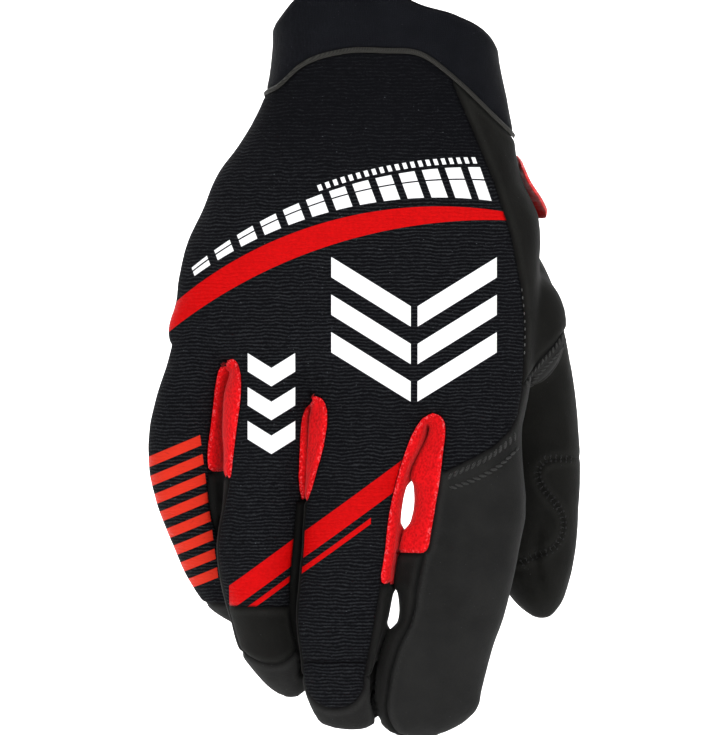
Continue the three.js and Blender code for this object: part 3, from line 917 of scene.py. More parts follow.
@dataclass(frozen=True)
class Brushed(Finish):
    """Bright fuzzy gusset cloth."""

    name: str
    dark: Colour = (0.4, 0.0016, 0.003)
    light: Colour = (0.66, 0.004, 0.007)

    def mix(self) -> bpy.types.Material:
        """Mixes the material."""
        paint = Paint(self.name)
        x, y, down = paint.place()
        spot = paint.vector(x, y, down)
        pile = paint.cloud(spot, 1.6, 6.0)
        holes, _ = paint.cells(spot, 1.15)
        colour = paint.blend((pile * 0.7 + holes * 0.4).rise(0.3, 0.75), self.dark, self.light)
        edge = paint.attribute("seam") / MM
        # Pale pink on the fuzz along the rolled edges: painted sheen on the fuzz.
        edge_fuzz_sheen = edge.rise(1.4, 0.5) * pile.rise(0.5, 0.68)
        colour = paint.blend(edge_fuzz_sheen * 0.4, colour, (0.86, 0.2, 0.22))
        # Near black at the very edge, where the cloth tucks into the seam: painted shade, and dirt.
        colour = paint.blend(edge.rise(0.35, 0.02) * 0.8, colour, (0.04, 0.001, 0.001))
        rough = 0.78 + pile * 0.15
        normal = paint.relief(pile * 0.6 + holes * 0.4, 0.22 * MM)
        return paint.finish(
            colour, rough, normal, Specular_IOR_Level=0.06,
            Sheen_Weight=0.05, Sheen_Roughness=0.5,
        )


@dataclass(frozen=True)
class Rubber(Finish):
    """Moulded rubber of the pull tab."""

    name: str
    colour: Colour = (0.62, 0.012, 0.012)

    def mix(self) -> bpy.types.Material:
        """Mixes the material."""
        paint = Paint(self.name)
        x, y, down = paint.place()
        spot = paint.vector(x, y, down)
        haze = paint.cloud(spot, 0.5, 4.0)
        ridges = ((down + 0.0) * (2 * math.pi / 2.4)).sine() * 0.5 + 0.5
        dust = paint.cloud(spot, 4.0, 4.0)
        dull = tuple(c * 0.6 for c in self.colour)
        colour = paint.blend((haze * 0.6 + dust * 0.4).rise(0.3, 0.7), dull, self.colour)
        normal = paint.relief(ridges.rise(0.3, 0.7) * 0.8 + dust * 0.2, 0.28 * MM)
        return paint.finish(colour, 0.36 + haze * 0.2, normal, Specular_IOR_Level=0.45)


@dataclass(frozen=True)
class Twill(Finish):
    """Narrow woven tape, and the sewing thread."""

    name: str
    dark: Colour
    light: Colour
    pitch: float = 0.7

    def mix(self) -> bpy.types.Material:
        """Mixes the material."""
        paint = Paint(self.name)
        x, y, down = paint.place()
        spot = paint.vector(x, y, down)
        twist = ((x + y + down * 0.8) * (2 * math.pi / self.pitch)).sine() * 0.5 + 0.5
        fuzz = paint.cloud(spot, 3.0, 4.0)
        colour = paint.blend((twist * 0.6 + fuzz * 0.5).rise(0.3, 0.8), self.dark, self.light)
        normal = paint.relief(twist * 0.7 + fuzz * 0.3, 0.12 * MM)
        return paint.finish(colour, 0.6 + fuzz * 0.25, normal, Specular_IOR_Level=0.3)


THUMB_SUEDE = Suede("thumb_suede", (0.0031, 0.0031, 0.0026), (0.0068, 0.0068, 0.0058), seam_shade_and_dirt=0.35)
FINGER_SUEDE = Suede("finger_suede", (0.0068, 0.0069, 0.0067), (0.0132, 0.0132, 0.0127))
STRIP_SUEDE = Suede("strip_suede", (0.0032, 0.0032, 0.0028), (0.0068, 0.0068, 0.0058))
SIDE_SUEDE = Suede("side_suede", (0.0032, 0.0032, 0.003), (0.007, 0.007, 0.0065), coarse=1.4)
CUFF_KNIT = Knit("cuff_knit", (0.0021, 0.0024, 0.0036), (0.0055, 0.006, 0.008))
LINING = Knit("lining", (0.008, 0.008, 0.009), (0.018, 0.018, 0.02))
BACK_CLOTH = RibbedCloth("ribbed_cloth")
GUSSET_CLOTH = Brushed("red_gusset_cloth")
TAB_RUBBER = Rubber("red_rubber")
BINDING_TAPE = Twill("binding_tape", (0.005, 0.0048, 0.0038), (0.02, 0.019, 0.0155))
# Black sewing thread; its lighter grey twist stripes are painted sheen.
THREAD = Twill("thread", (0.003, 0.003, 0.003), (0.04, 0.04, 0.038), pitch=0.35)
# Near-black thread; along the thumb patch its beads stand in for the shaded stitch holes, painted shade.
DARK_THREAD_AND_HOLE_SHADE = Twill("dark_thread_and_hole_shade", (0.0006, 0.0006, 0.0006), (0.004, 0.004, 0.004), pitch=0.35)
PALE_THREAD = Twill("pale_thread", (0.03, 0.03, 0.03), (0.12, 0.12, 0.12), pitch=0.35)


class Workbench:
    """Steps that are done with Blender's own operators on one object at a time."""

    @staticmethod
    def only(piece: bpy.types.Object) -> None:
        """Selects one object and makes it active."""
        bpy.ops.object.select_all(action="DESELECT")
        piece.select_set(True)
        bpy.context.view_layer.objects.active = piece

    @classmethod
    def finish_modifier(cls, piece: bpy.types.Object, kind: str, **settings: object) -> None:
        """Adds a modifier with some settings and applies it."""
        cls.only(piece)
        modifier = piece.modifiers.new(kind.lower(), kind)
        for name, value in settings.items():
            setattr(modifier, name, value)
        bpy.ops.object.modifier_apply(modifier=modifier.name)

    @staticmethod
    def points(mesh: bpy.types.Mesh) -> Points:
        """Places of a mesh's vertices, one row each."""
        flat = np.empty(len(mesh.vertices) * 3)
        mesh.vertices.foreach_get("co", flat)
        return flat.reshape(-1, 3)

    @staticmethod
    def normals(mesh: bpy.types.Mesh) -> Points:
        """Normals of a mesh's vertices, one row each."""
        flat = np.empty(len(mesh.vertices) * 3)
        mesh.vertex_normals.foreach_get("vector", flat)
        return flat.reshape(-1, 3)

    @staticmethod
    def put_points(mesh: bpy.types.Mesh, points: Points) -> None:
        """Moves a mesh's vertices."""
        mesh.vertices.foreach_set("co", np.ascontiguousarray(points, float).ravel())
        mesh.update()

    @classmethod
    def loft(cls, tube: Tube, grow: float) -> bpy.types.Object:
        """Closed tube over the sections of one part of the hand.

        Args:
            tube: The part.
            grow: How far outside the form it lies.

        Returns:
            The new object.
        """
        steps = int((tube.tip - tube.top) * HAND_LENGTH / LOFT_STEP) + 1
        bpy.ops.object.select_all(action="DESELECT")
        bpy.ops.mesh.primitive_grid_add(
            x_subdivisions=LOFT_SIDES, y_subdivisions=steps, size=HAND_BREADTH
        )
        piece = bpy.context.object
        grid = cls.points(piece.data) / HAND_BREADTH + 0.5
        ease = grid[:, 1] + 0.06 * np.sin(2 * np.pi * grid[:, 1]) / np.pi
        down = tube.tip + (tube.top - tube.tip) * np.clip(ease, 0, 1)
        cls.put_points(piece.data, tube.surface(down, 2 * np.pi * grid[:, 0], grow))
        cls.only(piece)
        bpy.ops.object.mode_set(mode="EDIT")
        bpy.ops.mesh.select_all(action="SELECT")
        bpy.ops.mesh.remove_doubles(threshold=1e-6)
        bpy.ops.mesh.select_all(action="DESELECT")
        bpy.ops.mesh.select_non_manifold()
        bpy.ops.mesh.fill_holes(sides=0)
        bpy.ops.mesh.select_all(action="SELECT")
        bpy.ops.mesh.normals_make_consistent(inside=False)
        bpy.ops.object.mode_set(mode="OBJECT")
        return piece


class Skin:
    """The smooth outer face of the whole glove, before it is cut into panels."""

    LOSS = 0.25 * MM  # what smoothing takes off the side of a finger
    TOUCH = 0.12 * MM
    UNDERLAP = 1.8 * MM  # how far a finger further back reaches under its neighbour
    WAVE = 0.9 * MM

    def __init__(self) -> None:
        """Makes the skin round the form of the hand."""
        tubes = [Workbench.loft(PALM, -SKIN_INSET)]
        for tube in FINGERS.values():
            gap = 0.0 if tube.part is Part.THUMB else FINGER_GAP / 2
            tubes.append(Workbench.loft(tube, -SKIN_INSET - gap))
        tubes += [self.web(gusset) for gusset in GUSSETS]
        tubes.append(self.lump(np.array(THUMB_WEB_SIZE) * MM, np.array(THUMB_WEB_PLACE) * MM))
        bpy.ops.object.select_all(action="DESELECT")
        for tube in tubes:
            tube.select_set(True)
        bpy.context.view_layer.objects.active = tubes[0]
        bpy.ops.object.join()
        self.piece = tubes[0]
        self.piece.name = "skin"
        Workbench.finish_modifier(self.piece, "REMESH", mode="VOXEL", voxel_size=SKIN_VOXEL)
        Workbench.finish_modifier(self.piece, "SMOOTH", factor=0.5, iterations=8)
        Workbench.finish_modifier(self.piece, "DISPLACE", strength=SKIN_INSET, mid_level=0.0)
        Workbench.finish_modifier(self.piece, "SMOOTH", factor=0.4, iterations=2)
        self.soften()
        self.keep_form()
        self.press()
        self.crease()
        self.spread()
        LOG.info("skin: %d faces", len(self.piece.data.polygons))

    @staticmethod
    def web(gusset: Gusset) -> bpy.types.Object:
        """Lump between the roots of two fingers, which closes the slot above the gusset."""
        top = min(down for _, down in gusset.outline)
        one, other = FINGERS[gusset.little_side], FINGERS[gusset.thumb_side]
        centre_1, wide_1, middle_1, deep_1 = one.measures(top)
        centre_2, wide_2, middle_2, deep_2 = other.measures(top)
        size = np.array([3 * MM, (deep_1 + deep_2) / 2 - 3 * MM, 5 * MM])
        place = np.array(
            [
                (centre_1 + wide_1 + centre_2 - wide_2) / 2,
                (middle_1 + middle_2) / 2,
                2.2 * MM - top * HAND_LENGTH,
            ]
        )
        return Skin.lump(size, place)

    @staticmethod
    def lump(size: np.ndarray, place: np.ndarray) -> bpy.types.Object:
        """An egg shape of given half sizes at a place."""
        bpy.ops.object.select_all(action="DESELECT")
        bpy.ops.mesh.primitive_uv_sphere_add(segments=24, ring_count=16, radius=1.0)
        egg = bpy.context.object
        Workbench.put_points(egg.data, Workbench.points(egg.data) * size + place)
        return egg

    def soften(self) -> None:
        """Smooths the cloth where the palm runs into the thumb and the index finger."""
        points = Workbench.points(self.piece.data)
        down = -points[:, 2] / MM
        weight = smoothstep(down, 52, 66) * smoothstep(-down, -122, -104)
        weight = weight * smoothstep(points[:, 0] / MM, 24, 34)
        group = self.piece.vertex_groups.new(name="soft")
        for level in range(1, 6):
            chosen = np.flatnonzero(np.round(weight * 5) == level)
            group.add([int(i) for i in chosen], level / 5, "REPLACE")
        Workbench.finish_modifier(
            self.piece, "SMOOTH", factor=0.5, iterations=34, vertex_group="soft"
        )

    def keep_form(self) -> None:
        """Keeps each point's place before the fingers press on each other."""
        mesh = self.piece.data
        form = mesh.attributes.new("form", "FLOAT_VECTOR", "POINT")
        form.data.foreach_set("vector", Workbench.points(mesh).astype(np.float32).ravel())

    def press(self) -> None:
        """Lets neighbouring fingers press on each other, so that no light comes between them."""
        mesh = self.piece.data
        points, normals = Workbench.points(mesh), Workbench.normals(mesh)
        x, y = points[:, 0].copy(), points[:, 1]
        down = -points[:, 2] / HAND_LENGTH
        for gusset in GUSSETS:
            one, other = FINGERS[gusset.little_side], FINGERS[gusset.thumb_side]
            low, high = max(one.top, other.top), min(one.tip, other.tip)
            centre_1, wide_1, middle_1, deep_1 = one.measures(down)
            centre_2, wide_2, middle_2, deep_2 = other.measures(down)
            right, left = centre_1 + wide_1, centre_2 - wide_2
            line, half = (right + left) / 2, (left - right + FINGER_GAP) / 2 + self.LOSS
            shut = smoothstep(down, low, low + 0.02) * smoothstep(-down, -high, 0.03 - high)
            shut = shut * smoothstep(-half, -2.2 * MM, -1.4 * MM)
            for start, end in gusset.openings:
                open_here = smoothstep(down, start - 0.012, start + 0.004)
                shut = shut * (1 - open_here * smoothstep(-down, -end - 0.012, 0.004 - end))
            side = np.where(x < line, 1.0, -1.0)
            lower = side * (middle_1 - middle_2)  # above 0 where the finger lies further back
            behind = smoothstep(lower, 2.5 * MM, 5 * MM)
            before = smoothstep(-lower, 2.5 * MM, 5 * MM)
            own = np.where(side > 0, middle_1, middle_2)
            depth = (middle_1 + middle_2) / 2 * (1 - behind) + own * behind
            across = (y - depth) / np.minimum(deep_1, deep_2)
            close = smoothstep(-np.abs(x - line), -7 * MM, -3 * MM)
            facing = smoothstep(normals[:, 0] * side, 0.1, 0.6)
            push = facing * shut * close * np.exp(-((across / 0.5) ** 2)) * (1 - before)
            past = self.UNDERLAP * behind - self.TOUCH * (1 - behind)
            moved = x + side * push * np.maximum(half + past, 0)
            limit = line + side * past
            moved = np.where(side > 0, np.minimum(moved, limit), np.maximum(moved, limit))
            x = np.where((push > 0.01) & (half + past > 0), moved, x)
            wave = np.sin(np.clip(across / 0.55, -1, 1) * np.pi) * self.WAVE
            x += wave * shut * close * (1 - behind) * (1 - before)
        points[:, 0] = x
        Workbench.put_points(mesh, points)

    def spread(self) -> None:
        """Makes what lies further back larger, as the photograph's outline holds its size."""
        points = Workbench.points(self.piece.data)
        x, y, z = Studio.centre
        share = 1 + points[:, 1] / Studio.distance
        points[:, 0] = x + (points[:, 0] - x) * share
        points[:, 2] = z + (points[:, 2] - z) * share
        Workbench.put_points(self.piece.data, points)

    def crease(self) -> None:
        """Lifts the folds out of the skin and adds the slack of worn cloth."""
        mesh = self.piece.data
        points, normals = Workbench.points(mesh), Workbench.normals(mesh)
        lift = sum(fold.lift(points) for fold in FOLDS) * (normals[:, 1] < 0.3)
        slack = np.array([self.slack_at(p) for p in points])
        Workbench.put_points(mesh, points + normals * (lift + slack)[:, None])

    @staticmethod
    def slack_at(point: Sequence[float]) -> float:
        """Height of the soft waves of worn cloth at a point, in metres."""
        place = Vector(point)
        broad = noise.noise(place * 55.0)
        fine = noise.noise(place * 140.0 + Vector((7.0, 3.0, 1.0)))
        return (0.45 * broad + 0.16 * fine) * MM


class Regions:
    """The areas of the skin that the panels are cut from, as signed distances, negative inside."""

    @staticmethod
    def nearest_finger(points: Points) -> np.ndarray:
        """Number of the finger whose surface each point is nearest to."""
        gaps = [np.abs(tube.locate(points[:, 3:])[2]) for tube in FINGERS.values()]
        return np.argmin(np.array(gaps), axis=0)

    @staticmethod
    def cuff_height(points: Points, column: int) -> np.ndarray:
        """Height of the mouth or the seam of the band above each point's place."""
        share = points[:, 0] / HAND_BREADTH
        down = smooth_at(CUFF_LINES[:, 0], CUFF_LINES[:, column], share)
        if column == 2:
            part = smoothstep(points[:, 1], -0.1 * CUFF_BLEND, 1.9 * CUFF_BLEND)
            down = down * (1 - part) + PALM_CUFF_SEAM * part
        return -down * HAND_LENGTH

    @classmethod
    def above_mouth(cls, points: Points) -> np.ndarray:
        """What lies above the wrist mouth."""
        return cls.cuff_height(points, 1) - points[:, 2]

    @classmethod
    def above_cuff_seam(cls, points: Points) -> np.ndarray:
        """What lies above the seam under the band."""
        return cls.cuff_height(points, 2) - points[:, 2]

    @classmethod
    def wedge(cls, part: Part, start: Field | float, end: Field | float,
              top: float, bottom: float, reach: float = 1.5 * MM,
              bulge: float = 0.0) -> Field:
        """Area of one finger between two angles and two places down it.

        Args:
            part: The finger.
            start: Angle where it starts, in degrees, or a column of the finger's table.
            end: Angle where it ends.
            top: Share down the glove where it starts.
            bottom: Share where it ends.
            reach: How far from the finger's form it still takes the cloth.
            bulge: How much further down its middle reaches than its sides.

        Returns:
            The area.
        """
        tube = FINGERS[part]
        number = list(FINGERS).index(part)

        def area(points: Points) -> np.ndarray:
            down, angle, outside = tube.locate(points[:, 3:])
            centre, wide, middle, deep = tube.measures(down)
            low = start(down) if callable(start) else np.full(len(points), float(start))
            high = end(down) if callable(end) else np.full(len(points), float(end))
            half = (high - low) / 2
            turn = (angle - (low + high) / 2 + 180) % 360 - 180
            sideways = np.radians(np.abs(turn) - half) * (wide + deep) / 2
            place = -points[:, 2] / HAND_LENGTH
            hem = bottom + bulge * (1 - np.clip(turn / half, -1, 1) ** 2)
            lengthways = np.maximum(top - place, place - hem) * HAND_LENGTH
            own = cls.nearest_finger(points) == number
            inside = np.maximum(np.maximum(sideways, lengthways), outside - reach)
            return np.where(own, inside, np.maximum(inside, 2 * MM))

        return area

    @classmethod
    def strip(cls, part: Part, top: float, bottom: float, bulge: float = 0.0) -> Field:
        """Strip on the back of a finger, between its two seams or the gussets' outlines."""
        tube = FINGERS[part]

        def low(down: np.ndarray) -> np.ndarray:
            ends = [g.thumb_end for g in GUSSETS if g.thumb_side is part]
            wider = sum(smoothstep(-down, -end - 0.002, 0.004 - end) for end in ends)
            return tube.column(5, down) - STRIP_SPARE * wider

        def high(down: np.ndarray) -> np.ndarray:
            ends = [g.little_end for g in GUSSETS if g.little_side is part]
            wider = sum(smoothstep(-down, -end - 0.002, 0.004 - end) for end in ends)
            return tube.column(6, down) + STRIP_SPARE * wider

        return cls.wedge(part, low, high, top, bottom, bulge=bulge)

    @classmethod
    def thumbward(cls, part: Part, top: float, bottom: float) -> Field:
        """Side wall of a finger towards the thumb."""
        tube = FINGERS[part]
        return cls.wedge(
            part, lambda d: tube.column(6, d), 360 + PALM_SEAM_ANGLE, top, bottom, SIDE_REACH
        )

    @classmethod
    def littleward(cls, part: Part, top: float, bottom: float) -> Field:
        """Side wall of a finger towards the little finger."""
        tube = FINGERS[part]
        return cls.wedge(
            part, 180 - PALM_SEAM_ANGLE, lambda d: tube.column(5, d), top, bottom, SIDE_REACH
        )

    @classmethod
    def gusset(cls, gusset: Gusset) -> Field:
        """Both red walls between two fingers, down to the seams at their palm side."""
        outline = rounded(placed(gusset.outline), closed=True)
        tubes = [FINGERS[gusset.little_side], FINGERS[gusset.thumb_side]]
        share = math.sin(math.radians(PALM_SEAM_ANGLE)) ** (2 / LITTLE.squareness)

        def area(points: Points) -> np.ndarray:
            flat = distance_to_outline(points[:, [0, 2]], outline)
            down = np.clip(-points[:, 2] / HAND_LENGTH, tubes[1].top, tubes[0].tip)
            seams, gaps, starts = [], [], []
            for tube in tubes:
                centre, wide, middle, deep = tube.measures(down)
                seams.append(middle + share * deep)
                starts.append(middle - 0.25 * deep)
                gaps.append(np.abs(points[:, 3] - centre) - wide)
            nearer = gaps[0] < gaps[1]
            seam = np.where(nearer, seams[0], seams[1])
            end = np.where(nearer, gusset.little_end, gusset.thumb_end)
            past = -points[:, 2] - end * HAND_LENGTH
            start = np.where(nearer, starts[0], starts[1])
            flat = flat - np.clip(1.2 * (points[:, 1] - start), 0, 6 * MM)
            return np.maximum(np.maximum(flat, past), points[:, 1] - seam)

        return area

    @staticmethod
    def below(rows: Outline) -> Field:
        """What lies below a seam, seen from the back."""
        outline = np.vstack([rounded(placed(rows)), [(0.0, -FAR), (FAR, -FAR)]])
        return lambda points: distance_to_outline(points[:, [0, 2]], outline)

    @classmethod
    def back(cls) -> Field:
        """The back of the hand and of the little, ring and middle fingers."""
        corner = [(-FAR, 0.05 * HAND_LENGTH)]
        outline = np.vstack([placed(BACK_SEAM), placed(BACK_HEM), corner])
        strips = [cls.strip(part, STRIP_START, end) for part, end in STRIP_ENDS.items()]

        def area(points: Points) -> np.ndarray:
            flat = distance_to_outline(points[:, [0, 2]], outline)
            found = np.maximum(flat, points[:, 1] - BACK_DEPTH)
            for strip in strips:
                found = np.minimum(found, strip(points))
            return found

        return area

    @staticmethod
    def thumb_side_strip() -> Field:
        """The smooth strip between the back panel and the thumb."""
        beside = [row for row in THUMB_SEAM if row[1] < BACK_SEAM[-1][1]]
        corner = [(FAR, 0.05 * HAND_LENGTH)]
        outline = np.vstack([placed(BACK_SEAM), placed(beside[::-1]), corner])
        return lambda points: np.maximum(
            distance_to_outline(points[:, [0, 2]], outline), points[:, 1] - STRIP_DEPTH
        )

    @classmethod
    def thumb(cls, start: float, end: float) -> Field:
        """One half of the thumb, below the seam at its foot."""
        half = cls.wedge(Part.THUMB, start, end, 0.36, 0.9, THUMB_REACH)
        foot = cls.below(THUMB_SEAM)
        return lambda points: np.maximum(half(points), foot(points))

    @classmethod
    def thumb_patch(cls) -> Field:
        """The patch over the outer side and the tip of the thumb."""
        number = list(FINGERS).index(Part.THUMB)
        edge = cls.below(PATCH_SEAM)

        def area(points: Points) -> np.ndarray:
            own = cls.nearest_finger(points) == number
            return np.where(own, edge(points), np.maximum(edge(points), 2 * MM))

        return area


class Cutter:
    """Cuts panels out of the skin along the seams."""

    SNAP = 0.15  # how near to a crossing a vertex is moved onto it, as a share of the edge
    THIN = 1e-6  # a face no deeper than this lies on the line itself

    def __init__(self, skin: bpy.types.Object) -> None:
        """Takes over the skin.

        Args:
            skin: The object to cut.
        """
        self.skin = skin
        self.work = bmesh.new()
        self.work.from_mesh(skin.data)
        self.form = self.work.verts.layers.float_vector["form"]

    def split(self, area: Field) -> list[bmesh.types.BMFace]:
        """Splits the faces that the edge of an area crosses.

        Args:
            area: The area.

        Returns:
            The faces inside it.
        """
        work = self.work
        work.verts.ensure_lookup_table()
        form = self.form
        points = np.array([(*v.co, *v[form]) for v in work.verts])
        work.verts.index_update()
        value = list(area(points))

        def crosses(edge: bmesh.types.BMEdge) -> bool:
            one, other = (value[v.index] < 0 for v in edge.verts)
            return one != other

        faces = {f for e in work.edges if crosses(e) for f in e.link_faces if len(f.verts) > 3}
        bmesh.ops.triangulate(work, faces=list(faces))
        crossing = [e for e in work.edges if crosses(e)]
        for edge in crossing:
            a, b = edge.verts
            if value[a.index] * value[b.index] >= 0:
                continue
            share = value[a.index] / (value[a.index] - value[b.index])
            near, part = (a, share) if share < 0.5 else (b, 1 - share)
            if part < self.SNAP:
                far = edge.other_vert(near)
                near.co = near.co.lerp(far.co, part)
                near[form] = near[form].lerp(far[form], part)
                value[near.index] = 0.0
        on_line = {v for v in work.verts if value[v.index] == 0.0}
        for edge in crossing:
            a, b = edge.verts
            if value[a.index] * value[b.index] < 0:
                share = value[a.index] / (value[a.index] - value[b.index])
                place = a[form].lerp(b[form], share)
                _, new = bmesh.utils.edge_split(edge, a, share)
                new[form] = place
                new.index = len(value)
                value.append(0.0)
                on_line.add(new)
        for face in {f for v in on_line for f in v.link_faces}:
            ends = self.crossings(face, value)
            if len(ends) == 2 and not any(
                e.other_vert(ends[0]) is ends[1] for e in ends[0].link_edges
            ):
                bmesh.utils.face_split(face, ends[0], ends[1])
        inside, doubtful = [], []
        for face in work.faces:
            most = max((value[v.index] for v in face.verts), key=abs)
            if abs(most) < self.THIN:
                doubtful.append(face)
            elif most < 0:
                inside.append(face)
        if doubtful:
            middles = np.array(
                [np.mean([(*v.co, *v[form]) for v in f.verts], axis=0) for f in doubtful]
            )
            inside += [f for f, v in zip(doubtful, area(middles)) if v < 0]
        return inside

    @staticmethod
    def crossings(face: bmesh.types.BMFace, value: Sequence[float]) -> list[bmesh.types.BMVert]:
        """Corners of a face where the line passes from one side of it to the other."""
        corners = list(face.verts)
        signs = [(v, value[v.index]) for v in corners]
        live = [i for i, (_, x) in enumerate(signs) if x != 0.0]
        found = []
        for n, i in enumerate(live):
            j = live[(n + 1) % len(live)]
            if signs[i][1] * signs[j][1] < 0:
                found.append(signs[(i + 1) % len(signs)][0])
        return found

    def take(self, name: str, area: Field) -> bpy.types.Object:
        """Cuts one panel out of what is left of the skin.

        Args:
            name: Name of the panel.
            area: Where it lies.

        Returns:
            The panel, without thickness yet.
        """
        inside = self.large_islands(self.split(area))
        panel = bmesh.new()
        self.copy_faces(inside, panel)
        bmesh.ops.delete(self.work, geom=inside, context="FACES")
        return self.new_piece(name, panel)

    @staticmethod
    def large_islands(faces: Sequence[bmesh.types.BMFace]) -> list[bmesh.types.BMFace]:
        """The faces that hang together in large areas, without small loose islands."""
        islands: list[set[bmesh.types.BMFace]] = []
        left = set(faces)
        while left:
            island, front = set(), [left.pop()]
            while front:
                face = front.pop()
                island.add(face)
                for edge in face.edges:
                    for other in edge.link_faces:
                        if other in left:
                            left.remove(other)
                            front.append(other)
            islands.append(island)
        least = 0.06 * max(len(island) for island in islands)
        return [face for island in islands if len(island) >= least for face in island]

    @staticmethod
    def copy_faces(faces: list[bmesh.types.BMFace], target: bmesh.types.BMesh) -> None:
        """Copies faces into another mesh."""
        copies: dict[bmesh.types.BMVert, bmesh.types.BMVert] = {}
        for face in faces:
            corners = []
            for v in face.verts:
                if v not in copies:
                    copies[v] = target.verts.new(v.co)
                corners.append(copies[v])
            target.faces.new(corners)

    @staticmethod
    def new_piece(name: str, work: bmesh.types.BMesh) -> bpy.types.Object:
        """Makes an object of a mesh that is being edited."""
        mesh = bpy.data.meshes.new(name)
        work.to_mesh(mesh)
        work.free()
        piece = bpy.data.objects.new(name, mesh)
        bpy.context.scene.collection.objects.link(piece)
        return piece

    def rest(self, name: str) -> bpy.types.Object:
        """The panel that is left when all others are cut out."""
        bpy.data.objects.remove(self.skin)
        kept = set(self.large_islands(self.work.faces))
        crumbs = [face for face in self.work.faces if face not in kept]
        bmesh.ops.delete(self.work, geom=crumbs, context="FACES")
        return self.new_piece(name, self.work)


class Wardrobe:
    """Keeps each finish's material, so that it is mixed once."""

    mixed: dict[str, bpy.types.Material] = {}

    @classmethod
    def material(cls, finish: Finish) -> bpy.types.Material:
        """The material of a finish."""
        if finish.name not in cls.mixed:
            cls.mixed[finish.name] = finish.mix()
        return cls.mixed[finish.name]


@dataclass
class Panel:
    """One sewn panel: its cut, how its edges roll in, and its thickness."""

    piece: bpy.types.Object
    node: str
    slot: str
    finish: Finish
    wall: float = WALL
    roll_depth: float = 0.6 * MM
    roll_width: float = 1.7 * MM
    tuck: float = 0.25 * MM  # how far its edge reaches into the seam, under its neighbour's
    raise_by: float = 0.0
    inside: Finish = LINING
    fold_limit: float = 1.1  # wall in a tight fold, as a share of its shortest edge, 0 for all

    def build(self) -> bpy.types.Object:
        """Refines the edges, rolls them into the seams, and gives the panel its thickness."""
        self.piece.name = f"{self.node}_cloth"
        self.refine()
        self.roll()
        for finish in (self.finish, self.inside):
            self.piece.data.materials.append(Wardrobe.material(finish))
        Workbench.finish_modifier(
            self.piece, "SOLIDIFY", thickness=self.wall, offset=-1.0, use_rim=True,
            use_even_offset=False, thickness_clamp=self.fold_limit, material_offset=1, material_offset_rim=0,
        )
        Workbench.only(self.piece)
        bpy.ops.object.shade_smooth_by_angle(angle=math.radians(50))
        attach(self.piece, "root")
        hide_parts(self.node)
        LOG.info("%s: %d faces", self.piece.name, len(self.piece.data.polygons))
        return self.piece

    def border(self, mesh: bpy.types.Mesh) -> set[int]:
        """Numbers of the vertices on the panel's edge."""
        counts: dict[tuple[int, int], int] = {}
        for polygon in mesh.polygons:
            for key in polygon.edge_keys:
                counts[key] = counts.get(key, 0) + 1
        return {v for key, count in counts.items() if count == 1 for v in key}

    def edge_distance(self) -> np.ndarray:
        """Distance of each vertex from the panel's edge."""
        mesh = self.piece.data
        points = Workbench.points(mesh)
        border = sorted(self.border(mesh))
        tree = KDTree(len(border))
        for n, v in enumerate(border):
            tree.insert(points[v], n)
        tree.balance()
        return np.array([tree.find(p)[2] for p in points])

    @staticmethod
    def outwards(mesh: bpy.types.Mesh, points: Points, normals: Points) -> Points:
        """Which way the cloth would grow at each point of its edge, and nothing elsewhere."""
        faces: dict[tuple[int, int], list[int]] = {}
        for polygon in mesh.polygons:
            for key in polygon.edge_keys:
                faces.setdefault(key, []).append(polygon.index)
        ways = np.zeros_like(points)
        for (a, b), owners in faces.items():
            if len(owners) > 1:
                continue
            along = points[b] - points[a]
            along /= np.linalg.norm(along) + TINY
            way = (points[a] + points[b]) / 2 - np.array(mesh.polygons[owners[0]].center)
            normal = normals[a] + normals[b]
            normal /= np.linalg.norm(normal) + TINY
            way -= along * (way @ along) + normal * (way @ normal)
            way /= np.linalg.norm(way) + TINY
            ways[a] += way
            ways[b] += way
        return ways / (np.linalg.norm(ways, axis=1)[:, None] + TINY)

    def refine(self) -> None:
        """Divides the faces near the edge, so that it can roll in smoothly."""
        near = self.edge_distance() < 1.3 * self.roll_width
        work = bmesh.new()
        work.from_mesh(self.piece.data)
        work.verts.ensure_lookup_table()
        bmesh.ops.triangulate(work, faces=[f for f in work.faces if len(f.verts) > 4])
        work.verts.ensure_lookup_table()
        edges = [e for e in work.edges if near[e.verts[0].index] and near[e.verts[1].index]]
        bmesh.ops.subdivide_edges(work, edges=edges, cuts=1, use_grid_fill=True)
        bmesh.ops.triangulate(work, faces=[f for f in work.faces if len(f.verts) > 4])
        work.to_mesh(self.piece.data)
        work.free()

    def roll(self) -> None:
        """Rolls the edges inwards and keeps how far each point is from them as an attribute."""
        mesh = self.piece.data
        points, normals = Workbench.points(mesh), Workbench.normals(mesh)
        far = self.edge_distance()
        fall = np.clip(1 - far / self.roll_width, 0, 1)
        crown = 0.12 * np.exp(-(((far - 1.2 * self.roll_width) / self.roll_width) ** 2))
        lift = self.raise_by - self.roll_depth * fall**2 + crown * self.roll_depth
        moved = points + normals * lift[:, None]
        moved += self.outwards(mesh, points, normals) * self.tuck
        Workbench.put_points(mesh, moved)
        seam = mesh.attributes.new("seam", "FLOAT", "POINT")
        seam.data.foreach_set("value", far.astype(np.float32))


